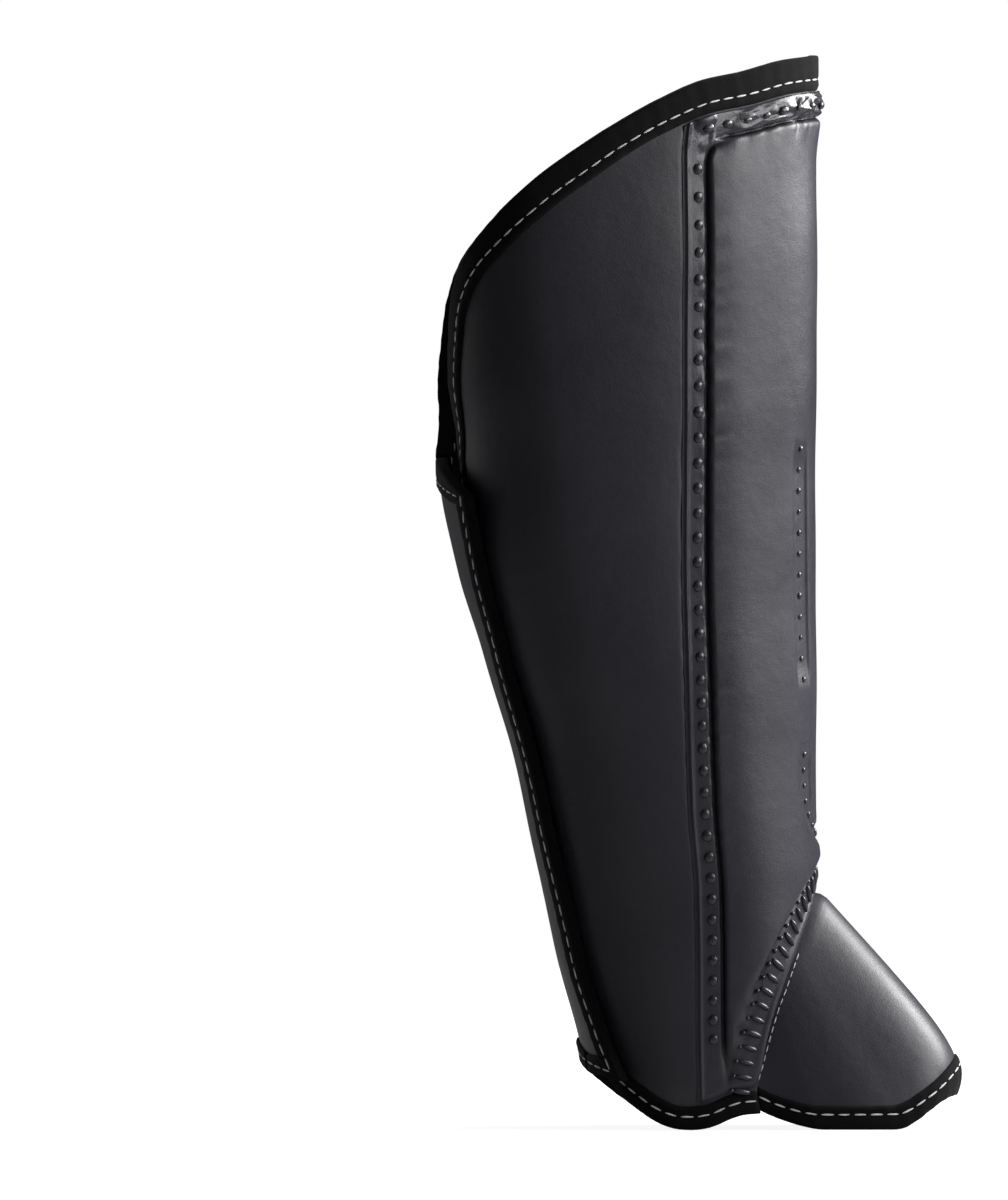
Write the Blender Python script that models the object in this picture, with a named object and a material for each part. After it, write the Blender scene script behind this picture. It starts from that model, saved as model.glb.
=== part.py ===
# Leg guard for the shin and instep: a leather wrap with a padded facing, a flared flap
# over the instep and a tab that closes over the near side of the back.
# Metres, +Z up, toes along +X, closing tab on the -Y side. It stands on its hem at z = 0.
import bmesh
import bpy
import numpy as np

# Overall sizes of the wrap, at its outer face
GUARD_HEIGHT = 0.400         # hem to the crest of the front
CALF_DEPTH = 0.1415          # shin line to the back of the calf
CALF_HALF_WIDTH = 0.069      # centre plane to the side of the calf
SHIN_X = 0.04364             # where the shin line stands, toe side of the origin
PAD_SETBACK = 0.0040         # how far the shin line sinks behind the pads

# Materials and clearances
LEATHER = 0.0020             # wall of the wrap and of the flap
TAPE = 0.0008                # binding tape
GAP = 0.0005                 # clearance between pieces that lie on each other
TAPE_REACH = 0.0115          # how far the top binding reaches in from the edge, outside
TAB_TAPE_REACH = 0.0064
HEM_TAPE_REACH = 0.0074
FLAP_TAPE_REACH = 0.0080
TOE_TAPE_REACH = 0.0140      # at the middle of the flap's toe
TOE_SPAN = 0.34              # share of the flap's half rim that the wide tape fades over
TAPE_SHORT_INSIDE = 0.0015   # how much less far a binding reaches inside
TAPE_LEG = (1.0, 0.67, 0.33, 0.0)   # shares of the reach where a binding has points
TAPE_NOSE = GAP + TAPE       # how far a binding stands out past the edge
SOLE = 0.0005                # tape this close to the ground is pressed flat on it

# Padded facing over the shin
FACING = 0.0009              # pressed leather along the welds
PAD_RISE = 0.0028            # how far the pads stand above the facing
RIDGE_RISE = 0.0009          # bead along the outer weld
WELD_HALF_WIDTH = 0.0040     # outer weld bands
WELD_AT_HEM = 0.0600         # girth distance from the shin line to the outer weld
WELD_AT_CREST = 0.0675
WELD_SLOPE = 0.0016          # width of the step from a weld up to a pad
RIDGE_WIDTH = 0.0026
TOP_WELD_WIDTH = 0.0095
FACING_INSET = 0.0017        # bare margin between the facing and the bindings
STRIP_AT = 0.0173            # middle weld strips, girth distance from the shin line
STRIP_HALF_WIDTH = 0.0032
STRIP_TOP = 0.257
STRIP_BOTTOM = 0.163
LOOP_TOP = 0.145             # U-shaped weld below the strips
LOOP_BOTTOM = 0.106

# Cut-out over the instep, and the ring of comb weld around it
ARCH_HEIGHT = 0.0890
ARCH_HALF_WIDTH = 0.0450
ARCH_POWER = 1.75
COMB_WIDTH = 0.0105

# Closing tab and the edge that it covers
TAB_OVERLAP = 0.0360         # past the middle of the back, at the tab's top corner
TAB_RAMP = 0.0360            # girth over which the far side climbs onto the near side
NEAR_EDGE_SETBACK = 0.0042   # the near side stops this short of the middle of the back
TAB_LIFT = 2 * TAPE + 3 * GAP + LEATHER   # outer face of the tab over the near side
TAB_BULGE = 0.0036           # how far the tab's top corner stands away
TAB_BULGE_Z = 0.2410
TAB_BULGE_REACH = 0.0330
COVERED_BINDING = 0.0150     # how far the near edge's binding runs on under the tab
TAB_FOOT_MITRE = 1.35        # room for the hem's tape at the tab's slanted lower corner
CLOSURE = TAB_LIFT - LEATHER - 2 * GAP    # fastening tape between the two layers
CLOSURE_TOP = 0.212
CLOSURE_BOTTOM = 0.045
CLOSURE_INSET = 0.0022       # bare margin at each side of the fastening tape
CLOSURE_ROWS = 10

# Flap over the instep
FLAP_REACH = 0.0521          # foremost point of its hem, ahead of the shin line
FLAP_HALF_WIDTH = 0.0365
FLAP_SIDE_REACH = 0.0020     # where its sides start to turn in, ahead of the shin line
FLAP_FRONT_Z = 0.0122
FLAP_RISE_AT = 0.545         # share of its reach where the hem starts to rise
FLAP_POWER = 2.6
FLAP_BULGE = 0.0134          # fullness of its front over a straight line
FLAP_BEND = 0.94             # share of a ruling where it bends down
FLAP_SHOULDER = 0.0040       # its fullness close under the rim of the cut-out
FLAP_SHOULDER_END = 0.040    # share of a ruling over which the shoulder rises
FLAP_TUCK = 0.0075           # margin that lies under the rim of the cut-out
FLAP_GAP = 0.0008            # clearance under the rim of the cut-out
FLAP_TUCK_SINK = 0.0012      # how far the edge of that margin drops from the wrap
FLAP_FOOT_HEIGHT = 0.0220    # where its rim ends at each foot
FLAP_FOOT_RISE = 0.0070      # its hem at each foot, above its lowest point
FLAP_BOW = 0.72              # share of the hem, from the front, that is the curved front
FLAP_STRAIGHT = 0.795         # share of a ruling up to the bend that stays straight
FLAP_LIFT_SHARE = 0.8        # upward share of the bulge
FLAP_SIDE_BULGE = 0.2        # share of the bulge left at the sides

# Horizontal sections, from the hem up. Height is a share of GUARD_HEIGHT, depths are
# shares of CALF_DEPTH and width is a share of CALF_HALF_WIDTH. The nose is a share of
# the section's own width and its flat a share of the section's own front depth.
SECTIONS = np.array([
    # height, front depth, depth, width, nose, flat
    (0.0000, 0.364, 0.543, 0.558, 0.80, 0.60),
    (0.0825, 0.380, 0.589, 0.565, 0.78, 0.60),
    (0.1650, 0.395, 0.652, 0.585, 0.75, 0.58),
    (0.2575, 0.446, 0.707, 0.630, 0.68, 0.52),
    (0.3525, 0.507, 0.766, 0.680, 0.60, 0.46),
    (0.4450, 0.579, 0.845, 0.735, 0.54, 0.41),
    (0.5375, 0.635, 0.917, 0.785, 0.50, 0.38),
    (0.6075, 0.660, 0.932, 0.830, 0.48, 0.37),
    (0.6450, 0.676, 0.945, 0.853, 0.47, 0.37),
    (0.7025, 0.701, 0.980, 0.885, 0.45, 0.37),
    (0.8500, 0.742, 1.001, 0.955, 0.42, 0.37),
    (1.0000, 0.773, 1.004, 1.000, 0.40, 0.37),
])
# Sink of the shin line: share of GUARD_HEIGHT, share of PAD_SETBACK
SHIN_SINK = np.array([
    (0.000, 0.30), (0.225, 0.30), (0.300, 1.00), (0.900, 1.00), (0.965, 0.00), (1.000, 0.00),
])
REAR_FULLNESS = 0.55         # roundness of the calf side of a section
TAUS = np.linspace(0.0, 2.0, 121)

# Upper edge of the wrap: share of the half girth against share of GUARD_HEIGHT
UPPER_EDGE = np.array([
    (0.000, 0.9970), (0.115, 0.9913), (0.224, 0.9785), (0.297, 0.9710), (0.390, 0.9517),
    (0.473, 0.9281), (0.543, 0.9049), (0.607, 0.8821), (0.661, 0.8595), (0.714, 0.8365),
    (0.771, 0.8143), (0.823, 0.7906), (0.863, 0.7648), (0.883, 0.7420), (0.903, 0.7170),
    (0.922, 0.6920), (0.945, 0.6670), (0.972, 0.6430), (1.000, 0.6250),
])
# Hem of the wrap, from the foot of the cut-out to the middle of the back. The edge of
# the leather stays a binding's nose above the ground.
HEM = np.array([
    # share of half girth, share of GUARD_HEIGHT
    (0.352, 0.0150), (0.427, 0.0125), (0.480, 0.0060), (0.520, 0.0000), (0.650, 0.0000),
    (0.690, 0.0090), (0.740, 0.0195), (0.800, 0.0310), (0.870, 0.0450), (1.000, 0.0640),
])
# Closing tab. The overlap is a share of TAB_OVERLAP; its ends are shares of GUARD_HEIGHT
TAB_WIDTHS = np.array([
    # share of GUARD_HEIGHT, share of TAB_OVERLAP
    (0.000, 1.06), (0.045, 0.93), (0.095, 0.76), (0.150, 0.685), (0.250, 0.69),
    (0.350, 0.72), (0.430, 0.78), (0.500, 0.88), (0.600, 1.00),
])
TAB_TOP = np.array([(0.0, 0.6250), (0.5, 0.6090), (1.0, 0.5900)])
TAB_FOOT = np.array([(0.0, 0.0640), (1.0, 0.0470)])

ARCH_COLUMNS = 9
WING_COLUMNS = 19
TAB_COLUMNS = 5
WRAP_ROWS = 16
PAD_COLUMNS = (0.20, 0.40, 0.60, 0.80)    # shares of the way out to the outer weld
STRIP_ROWS = 3
UPPER_ROWS = 2               # rows of the facing between the strips and the top weld
LOWER_ROWS = (0.0, 0.33, 0.67)    # shares of the height between its foot and the loop
EDGE_STEP = 0.01             # share of half girth over which an edge's slope is taken
FLAP_COLUMNS = 22
# shares of a ruling of the flap, from the rim down to its hem
FLAP_DOWNS = np.array((0.0, 0.045, 0.12, 0.25, 0.40, 0.55, 0.70, 0.85, 1.0))


def smooth(x, table_x, table_y):
    """Monotone curve through a short table."""
    step = np.diff(table_x)
    slope = np.diff(table_y) / step
    tangent = np.empty(len(table_y))
    tangent[0] = slope[0]
    tangent[-1] = slope[-1]
    for i in range(1, len(table_y) - 1):
        before, after = slope[i - 1], slope[i]
        weight_before = 2 * step[i] + step[i - 1]
        weight_after = step[i] + 2 * step[i - 1]
        tangent[i] = 0.0
        if before * after > 0:
            total = weight_before + weight_after
            tangent[i] = total / (weight_before / before + weight_after / after)
    x = np.clip(x, table_x[0], table_x[-1])
    i = np.clip(np.searchsorted(table_x, x, side="right") - 1, 0, len(step) - 1)
    t = (x - table_x[i]) / step[i]
    start = table_y[i] * (1 + 2 * t) * (1 - t) ** 2 + tangent[i] * step[i] * t * (1 - t) ** 2
    end = table_y[i + 1] * t * t * (3 - 2 * t) + tangent[i + 1] * step[i] * t * t * (t - 1)
    return start + end


def ease(x):
    x = np.clip(x, 0.0, 1.0)
    return x * x * (3 - 2 * x)


def section(z):
    """One half of the horizontal section at each height: X, half width and girth."""
    share = np.atleast_1d(z)[:, None] / GUARD_HEIGHT
    heights = SECTIONS[:, 0]
    front, depth, width, nose, flat = [smooth(share, heights, SECTIONS[:, k]) for k in range(1, 6)]
    front = front * CALF_DEPTH
    rear = depth * CALF_DEPTH - front
    width = width * CALF_HALF_WIDTH
    nose = nose * width
    flat = flat * front
    t = np.clip(TAUS, 0, 1)[None, :]
    u = np.clip(TAUS - 1, 0, 1)[None, :]
    side = 3 * (1 - t) ** 2 * t * nose + 3 * (1 - t) * t ** 2 * width + t ** 3 * width
    back = 3 * (1 - t) * t ** 2 * (front - flat) + t ** 3 * front
    keep = REAR_FULLNESS
    rear_side = (1 - u) ** 3 + 3 * (1 - u) ** 2 * u + 3 * (1 - u) * u ** 2 * keep
    rear_back = 3 * (1 - u) ** 2 * u * keep + 3 * (1 - u) * u ** 2 + u ** 3
    on_calf = TAUS[None, :] > 1
    side = np.where(on_calf, rear_side * width, side)
    back = np.where(on_calf, front + rear_back * rear, back)
    sink = PAD_SETBACK * smooth(share, SHIN_SINK[:, 0], SHIN_SINK[:, 1])
    back = back + sink * (1 - t) ** 2
    steps = np.hypot(np.diff(side), np.diff(back))
    girth = np.concatenate([np.zeros((len(steps), 1)), np.cumsum(steps, axis=1)], axis=1)
    return SHIN_X - back, side, girth


def half_girth(z):
    shape = np.shape(z)
    return section(np.ravel(z))[2][:, -1].reshape(shape)


def skin(s, z):
    """Outer face of the wrap. s is the girth distance from the shin line: positive on
    the near side (-Y), and past half the girth it goes on round the other side."""
    s, z = np.broadcast_arrays(s, z)
    xs, sides, girths = section(z.ravel())
    total = girths[:, -1]
    flat_s = s.ravel()
    beyond = np.abs(flat_s) > total
    along = np.where(beyond, 2 * total - np.abs(flat_s), np.abs(flat_s))
    sign = np.sign(flat_s) * np.where(beyond, -1, 1)
    x = np.array([np.interp(a, g, row) for a, g, row in zip(along, girths, xs)])
    y = np.array([np.interp(a, g, row) for a, g, row in zip(along, girths, sides)])
    points = np.stack([x, -sign * y, z.ravel()], axis=-1)
    return points.reshape(s.shape + (3,))


def lifted(s, z, lift):
    """A point that stands off the outer face of the wrap along its normal."""
    reach = 0.0015
    across = skin(s + reach, z) - skin(s - reach, z)
    up = skin(s, z + reach) - skin(s, z - reach)
    normal = np.cross(up, across)
    normal /= np.linalg.norm(normal, axis=-1, keepdims=True)
    return skin(s, z) + normal * np.asarray(lift)[..., None]


def wrap_lift(s, z):
    """Climb of the far side and its tab over the near side."""
    bulge = TAB_BULGE * ease(1 - np.abs(z - TAB_BULGE_Z) / TAB_BULGE_REACH)
    return (TAB_LIFT + bulge) * ease(1 - (half_girth(z) - np.maximum(-s, 0)) / TAB_RAMP)


def on_wrap(s, z, lift):
    return lifted(s, z, wrap_lift(s, z) + lift)


def upper_edge(share):
    return GUARD_HEIGHT * smooth(share, UPPER_EDGE[:, 0], UPPER_EDGE[:, 1])


def hem(share):
    return TAPE_NOSE + GUARD_HEIGHT * smooth(share, HEM[:, 0], HEM[:, 1])


def overlap(z):
    share = z / GUARD_HEIGHT
    return TAB_OVERLAP * smooth(share, TAB_WIDTHS[:, 0], TAB_WIDTHS[:, 1])


def arch(turn, margin=0.0):
    """Rim of the cut-out: turn 0 is its crown, 1 its foot, margin grows it."""
    angle = turn * np.pi / 2
    s = (ARCH_HALF_WIDTH + margin) * np.sin(angle) ** (2 / ARCH_POWER)
    z = (ARCH_HEIGHT + margin) * np.cos(angle) ** (2 / ARCH_POWER)
    return s, z


def arch_foot():
    """Turn at which the rim of the cut-out meets the hem."""
    turns = np.linspace(0.0, 1.0, 400)
    s, z = arch(turns)
    return turns[np.argmax(z < hem(np.full(len(s), HEM[0, 0])))]


def wrap_girth(side, share, z):
    """Girth distance of a column of the wrap. Shares over 1 lie on the closing tab."""
    if side > 0:
        return share * (half_girth(z) - NEAR_EDGE_SETBACK)
    within = np.minimum(share, 1.0)
    return -(within * half_girth(z) + (share - within) * overlap(z))


def wrap_columns():
    """Each column of the wrap, near edge to tab: side, share, lowest and highest z."""
    turns = np.linspace(0.0, arch_foot(), ARCH_COLUMNS + 1)
    arch_s, arch_z = arch(turns)
    foot_share = arch_s[-1] / half_girth(arch_z[-1:])[0]
    wing = np.linspace(foot_share, 1.0, WING_COLUMNS + 1)[1:]
    columns = []
    for side in (1, -1):
        rows = []
        reach = half_girth(arch_z) - (NEAR_EDGE_SETBACK if side > 0 else 0.0)
        for share, low in zip(arch_s / reach, arch_z):
            rows.append((side, share, low, upper_edge(share)))
        for share in wing:
            rows.append((side, share, hem(share), upper_edge(share)))
        if side < 0:
            for share in np.linspace(0.0, 1.0, TAB_COLUMNS + 1)[1:]:
                low = GUARD_HEIGHT * smooth(share, TAB_FOOT[:, 0], TAB_FOOT[:, 1]) + TAPE_NOSE
                high = GUARD_HEIGHT * smooth(share, TAB_TOP[:, 0], TAB_TOP[:, 1])
                rows.append((side, 1 + share, low, high))
        columns.append(rows)
    return columns[0][::-1] + columns[1][1:]


def wrap_grid():
    """Girth distance and height of every point of the wrap."""
    columns = wrap_columns()
    fractions = np.linspace(0.0, 1.0, WRAP_ROWS + 1)
    s = np.empty((len(columns), len(fractions)))
    z = np.empty_like(s)
    for i, (side, share, low, high) in enumerate(columns):
        z[i] = low + (high - low) * fractions
        s[i] = wrap_girth(side, share, z[i])
    return s, z


def leather(name, color, roughness):
    material = bpy.data.materials.new(name)
    material.use_nodes = True
    shader = material.node_tree.nodes["Principled BSDF"]
    shader.inputs["Base Color"].default_value = (*color, 1.0)
    shader.inputs["Roughness"].default_value = roughness
    shader.inputs["Metallic"].default_value = 0.0
    return material


def add_object(name, vertices, faces, material):
    mesh = bpy.data.meshes.new(name)
    mesh.from_pydata([tuple(v) for v in vertices], [], faces)
    bm = bmesh.new()
    bm.from_mesh(mesh)
    if bm.calc_volume(signed=True) < 0:
        bmesh.ops.reverse_faces(bm, faces=bm.faces)
    bmesh.ops.triangulate(bm, faces=bm.faces)
    bm.to_mesh(mesh)
    bm.free()
    mesh.shade_smooth()
    mesh.set_sharp_from_angle(angle=np.radians(40))
    mesh.materials.append(material)
    thing = bpy.data.objects.new(name, mesh)
    bpy.context.scene.collection.objects.link(thing)
    return thing


def add_wall(name, outer, inner, material):
    """Closed wall between an outer and an inner grid of points."""
    columns, rows = outer.shape[:2]
    count = columns * rows
    vertices = np.concatenate([outer.reshape(-1, 3), inner.reshape(-1, 3)])
    faces = []
    for i in range(columns - 1):
        for j in range(rows - 1):
            a = i * rows + j
            b = a + rows
            faces.append((a, b, b + 1, a + 1))
            faces.append((count + a, count + a + 1, count + b + 1, count + b))
    rim = [i * rows for i in range(columns)]
    rim += [(columns - 1) * rows + j for j in range(1, rows)]
    rim += [i * rows + rows - 1 for i in range(columns - 2, -1, -1)]
    rim += list(range(rows - 2, 0, -1))
    for a, b in zip(rim, rim[1:] + rim[:1]):
        faces.append((a, count + a, count + b, b))
    return add_object(name, vertices, faces, material)


def add_binding(name, place, material, reach, wall=LEATHER):
    """Tape folded over an edge. place(inward, lift) gives one point for each station,
    inward from the edge and lifted from the outer face of what it binds."""
    top = GAP + TAPE
    bottom = -wall - top
    leg = [reach * share for share in TAPE_LEG]
    reach_inside = reach - TAPE_SHORT_INSIDE
    outside = [(inward, top) for inward in leg] + [(-TAPE_NOSE, 0.0), (-TAPE_NOSE, -wall)]
    outside += [(0.0, bottom), (reach_inside, bottom)]
    inside = [(inward, GAP) for inward in leg] + [(-GAP, 0.0), (-GAP, -wall)]
    inside += [(0.0, -wall - GAP), (reach_inside, -wall - GAP)]
    outer = np.stack([place(inward, lift) for inward, lift in outside], axis=1)
    inner = np.stack([place(inward, lift) for inward, lift in inside], axis=1)
    on_ground = outer[..., 2] < SOLE
    outer[on_ground, 2] = 0.0
    return add_wall(name, outer, inner, material)


def inward_of(s, z, side):
    """Direction into the leather at each station of an edge, lengthened at corners."""
    along = np.stack([np.diff(s), np.diff(z)], axis=-1)
    along /= np.linalg.norm(along, axis=-1, keepdims=True)
    across = side * np.stack([-along[:, 1], along[:, 0]], axis=-1)
    first = np.concatenate([across[:1], across])
    second = np.concatenate([across, across[-1:]])
    middle = first + second
    middle /= np.linalg.norm(middle, axis=-1, keepdims=True)
    return middle / np.sum(middle * first, axis=-1, keepdims=True)


def wrap_binding(name, s, z, direction, material, reach):
    def place(inward, lift):
        at_s = s + direction[:, 0] * inward
        at_z = z + direction[:, 1] * inward
        return on_wrap(at_s, at_z, lift)

    return add_binding(name, place, material, reach)


def weld_line(z):
    return WELD_AT_HEM + (WELD_AT_CREST - WELD_AT_HEM) * z / GUARD_HEIGHT


def arch_distance(s, z):
    """How far a point lies outside the rim of the cut-out."""
    turns = np.linspace(0.0, 1.0, 80)
    rim_s, rim_z = arch(turns)
    gaps = np.hypot(np.abs(s)[..., None] - rim_s, z[..., None] - rim_z)
    return gaps.min(axis=-1)


def wrap_share(s, z):
    """Share of the half girth at a point of the wrap, the reverse of wrap_girth."""
    return np.abs(s) / (half_girth(z) - np.where(s > 0, NEAR_EDGE_SETBACK, 0.0))


def beside_edge(s, edge, start, side, reach):
    """Height just clear of the binding along an edge, above it or below it."""
    z = np.full(np.shape(s), start)
    for _ in range(3):
        share = wrap_share(s, z)
        z = edge(share)
    rise = edge(share + EDGE_STEP) - edge(share - EDGE_STEP)
    slope = rise / (2 * EDGE_STEP * half_girth(z))
    return z + side * (reach + FACING_INSET) * np.hypot(1.0, slope)


def facing_top(s):
    return beside_edge(s, upper_edge, GUARD_HEIGHT, -1, TAPE_REACH)


def facing_foot(s):
    share = np.minimum(np.abs(s) / ARCH_HALF_WIDTH, 1.0)
    rim = ARCH_HEIGHT * (1 - share ** ARCH_POWER) ** (1 / ARCH_POWER)
    return np.maximum(rim + GAP, beside_edge(s, hem, 0.0, 1, HEM_TAPE_REACH))


def facing_rise(s, z):
    """Height of the facing's outer face above its pressed welds."""
    away = np.abs(s)
    to_weld = weld_line(z) - WELD_HALF_WIDTH - away
    pad = ease(to_weld / WELD_SLOPE)
    pad = pad * ease((facing_top(s) - TOP_WELD_WIDTH - z) / WELD_SLOPE)
    pad = pad * ease((arch_distance(s, z) - COMB_WIDTH) / WELD_SLOPE)
    across = np.abs(away - STRIP_AT) - STRIP_HALF_WIDTH
    strip_end = np.maximum(z - STRIP_TOP, STRIP_BOTTOM - z)
    pad = pad * ease(np.maximum(across, strip_end) / WELD_SLOPE)
    bend_z = LOOP_BOTTOM + STRIP_AT + STRIP_HALF_WIDTH
    round_off = np.abs(np.hypot(away, np.minimum(z - bend_z, 0)) - STRIP_AT)
    loop = np.maximum(round_off - STRIP_HALF_WIDTH, z - LOOP_TOP)
    pad = pad * ease(loop / WELD_SLOPE)
    from_weld = away - weld_line(z) - WELD_HALF_WIDTH
    ridge = ease(from_weld / WELD_SLOPE) * ease((RIDGE_WIDTH - from_weld) / (RIDGE_WIDTH / 2))
    return PAD_RISE * pad + RIDGE_RISE * ridge


def facing_columns():
    """Columns of one half of the facing, from the shin line out, each as a fixed girth
    distance and the share of the outer weld's distance that is added to it."""
    inside = STRIP_AT - STRIP_HALF_WIDTH
    outside = STRIP_AT + STRIP_HALF_WIDTH
    columns = [(0.0, 0), (inside / 2, 0), (inside - WELD_SLOPE, 0), (inside, 0)]
    columns += [(outside, 0), (outside + WELD_SLOPE, 0)]
    columns += [(outside * (1 - share), share) for share in PAD_COLUMNS]
    edge = WELD_HALF_WIDTH
    for step in (-edge - WELD_SLOPE, -edge, edge, edge + RIDGE_WIDTH / 2, edge + RIDGE_WIDTH):
        columns.append((step, 1))
    return columns


def make_facing(material):
    half = facing_columns()
    low_line = ARCH_HEIGHT + COMB_WIDTH
    levels = [LOOP_BOTTOM, LOOP_BOTTOM + 2 * STRIP_HALF_WIDTH]
    levels += [levels[-1] + WELD_SLOPE, LOOP_TOP, LOOP_TOP + WELD_SLOPE]
    levels += [STRIP_BOTTOM - WELD_SLOPE, STRIP_BOTTOM]
    levels += list(np.linspace(STRIP_BOTTOM, STRIP_TOP, STRIP_ROWS + 1)[1:])
    levels.append(STRIP_TOP + WELD_SLOPE)
    columns = [(1, *column) for column in half[::-1]] + [(-1, *column) for column in half[1:]]
    s_rows = []
    z_rows = []
    for side, fixed, share in columns:
        at_hem = np.array([side * (fixed + share * weld_line(0.0))])
        at_top = np.array([side * (fixed + share * weld_line(GUARD_HEIGHT))])
        low = facing_foot(at_hem)[0]
        top = facing_top(at_top)[0]
        lower = [low + (low_line - low) * row for row in LOWER_ROWS]
        last = top - TOP_WELD_WIDTH
        upper = list(np.linspace(levels[-1], last - WELD_SLOPE, UPPER_ROWS + 1)[1:])
        heights = np.array(lower + levels + upper + [last, top])
        z_rows.append(heights)
        s_rows.append(side * (fixed + share * weld_line(heights)))
    s = np.array(s_rows)
    z = np.array(z_rows)
    outer_face = lifted(s, z, GAP + FACING + facing_rise(s, z))
    inner_face = lifted(s, z, np.full(s.shape, GAP))
    return add_wall("front_facing", outer_face, inner_face, material)


def flap_turn(turn):
    """Turn of the cut-out's rim for a turn of the flap, whose feet stop above the hem."""
    turns = np.linspace(0.0, 1.0, 400)
    foot = turns[np.argmax(arch(turns)[1] < FLAP_FOOT_HEIGHT)]
    return np.abs(turn) * foot


def flap_rim(turn, margin, lift=0.0):
    """Points of the flap on the rim of the cut-out, or in the margin under the wrap."""
    s, z = arch(flap_turn(turn))
    grown_s, grown_z = arch(flap_turn(turn), FLAP_TUCK)
    s = s + (grown_s - s) * margin
    z = z + (grown_z - z) * margin
    lift = lift - LEATHER - FLAP_GAP - FLAP_TUCK_SINK * margin
    return lifted(np.sign(turn) * s, z, lift + np.zeros_like(s))


def flap_hem(turn):
    """Lower edge of the flap: turn 0 is its front, 1 and -1 its feet."""
    side = np.where(turn < 0, -1.0, 1.0)
    foot_s = arch(flap_turn(np.ones_like(turn)))[0]
    foot_z = TAPE_NOSE + FLAP_FOOT_RISE + np.zeros_like(turn)
    foot = lifted(side * foot_s, foot_z, -LEATHER - FLAP_GAP + np.zeros_like(turn))
    across = np.abs(turn)
    angle = (1 - np.clip(across / FLAP_BOW, 0, 1)) * np.pi / 2
    length = FLAP_REACH - FLAP_SIDE_REACH
    side_x = SHIN_X + FLAP_SIDE_REACH
    x = side_x + length * np.sin(angle) ** (2 / FLAP_POWER)
    y = FLAP_HALF_WIDTH * np.cos(angle) ** (2 / FLAP_POWER)
    along = np.clip((across - FLAP_BOW) / (1 - FLAP_BOW), 0, 1)
    side_y = FLAP_HALF_WIDTH + (np.abs(foot[..., 1]) - FLAP_HALF_WIDTH) * ease(along)
    x = np.where(across > FLAP_BOW, side_x + (foot[..., 0] - side_x) * along, x)
    y = np.where(across > FLAP_BOW, side_y, y)
    front_rise = FLAP_FRONT_Z * ease(((x - side_x) / length - FLAP_RISE_AT) / (1 - FLAP_RISE_AT))
    z = TAPE_NOSE + front_rise + FLAP_FOOT_RISE * along ** 1.5
    return np.stack([x, -side * y, z], axis=-1)


def flap_point(turn, down):
    """Outer face of the flap: down 0 is at the rim of the cut-out, 1 at its hem."""
    rim = flap_rim(turn, 0.0)
    edge = flap_hem(turn)
    ruling = edge - rim
    outward = ruling * (1.0, 1.0, 0.0)
    outward[..., 2] = FLAP_LIFT_SHARE * np.abs(ruling[..., 2])
    outward /= np.linalg.norm(outward, axis=-1, keepdims=True)
    front = np.cos(np.clip(np.abs(turn) / FLAP_BOW, 0, 1) * np.pi / 2) ** 2
    fullness = FLAP_BULGE * (FLAP_SIDE_BULGE + (1 - FLAP_SIDE_BULGE) * front)
    fullness = fullness * (1 - np.abs(turn) ** 4)
    knee = rim + ruling * FLAP_BEND + outward * fullness[..., None]
    first = rim + (knee - rim) * FLAP_STRAIGHT
    shoulder = FLAP_SHOULDER * front * ease(down / FLAP_SHOULDER_END) * (1 - down) ** 3
    d = down[..., None]
    curve = (1 - d) ** 3 * rim + 3 * (1 - d) ** 2 * d * first
    curve = curve + 3 * (1 - d) * d ** 2 * knee + d ** 3 * edge
    return curve + outward * shoulder[..., None]


def flap_face(turn, down, lift):
    """Point standing off the flap's outer face along its normal."""
    reach = 0.01
    turn, down = np.broadcast_arrays(np.asarray(turn, float), np.asarray(down, float))
    across = flap_point(np.clip(turn + reach, -1, 1), down)
    across = across - flap_point(np.clip(turn - reach, -1, 1), down)
    along = flap_point(turn, down + reach) - flap_point(turn, down - reach)
    normal = np.cross(across, along)
    normal /= np.linalg.norm(normal, axis=-1, keepdims=True)
    return flap_point(turn, down) + normal * lift


def make_flap(material):
    turns = np.linspace(1.0, -1.0, FLAP_COLUMNS + 1)
    turn, down = np.meshgrid(turns, FLAP_DOWNS, indexing="ij")
    margins = (1.0, 0.5)
    tuck = np.stack([flap_rim(turns, margin) for margin in margins], axis=1)
    tuck_back = np.stack([flap_rim(turns, margin, -LEATHER) for margin in margins], axis=1)
    face = np.concatenate([tuck, flap_face(turn, down, 0.0)], axis=1)
    back = np.concatenate([tuck_back, flap_face(turn, down, -LEATHER)], axis=1)
    add_wall("metatarsal_flap", face, back, material)


def bind_flap(material):
    turns = np.linspace(1.0, -1.0, FLAP_COLUMNS + 1)
    downs = np.linspace(0.0, 1.0, 60)
    turn, down = np.meshgrid(turns, downs, indexing="ij")
    steps = np.linalg.norm(np.diff(flap_point(turn, down), axis=1), axis=-1)
    from_hem = np.cumsum(steps[:, ::-1], axis=1)
    from_hem = np.concatenate([np.zeros((len(turns), 1)), from_hem], axis=1)

    def place(inward, lift):
        inward = inward + np.zeros(len(turns))
        if inward[0] < 0:
            at = 1 - inward * (downs[1] / from_hem[:, 1])
        else:
            at = np.array([np.interp(step, row, downs[::-1]) for step, row in zip(inward, from_hem)])
        return flap_face(turns, at, lift)

    toe = ease(1 - np.abs(turns) / TOE_SPAN)
    reach = FLAP_TAPE_REACH + (TOE_TAPE_REACH - FLAP_TAPE_REACH) * toe
    add_binding("flap_binding", place, material, reach)


def shift_start(s, z, step):
    """Move the first station of an edge a step along it."""
    share = step / np.hypot(s[1] - s[0], z[1] - z[0])
    s[0] += (s[1] - s[0]) * share
    z[0] += (z[1] - z[0]) * share


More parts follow.
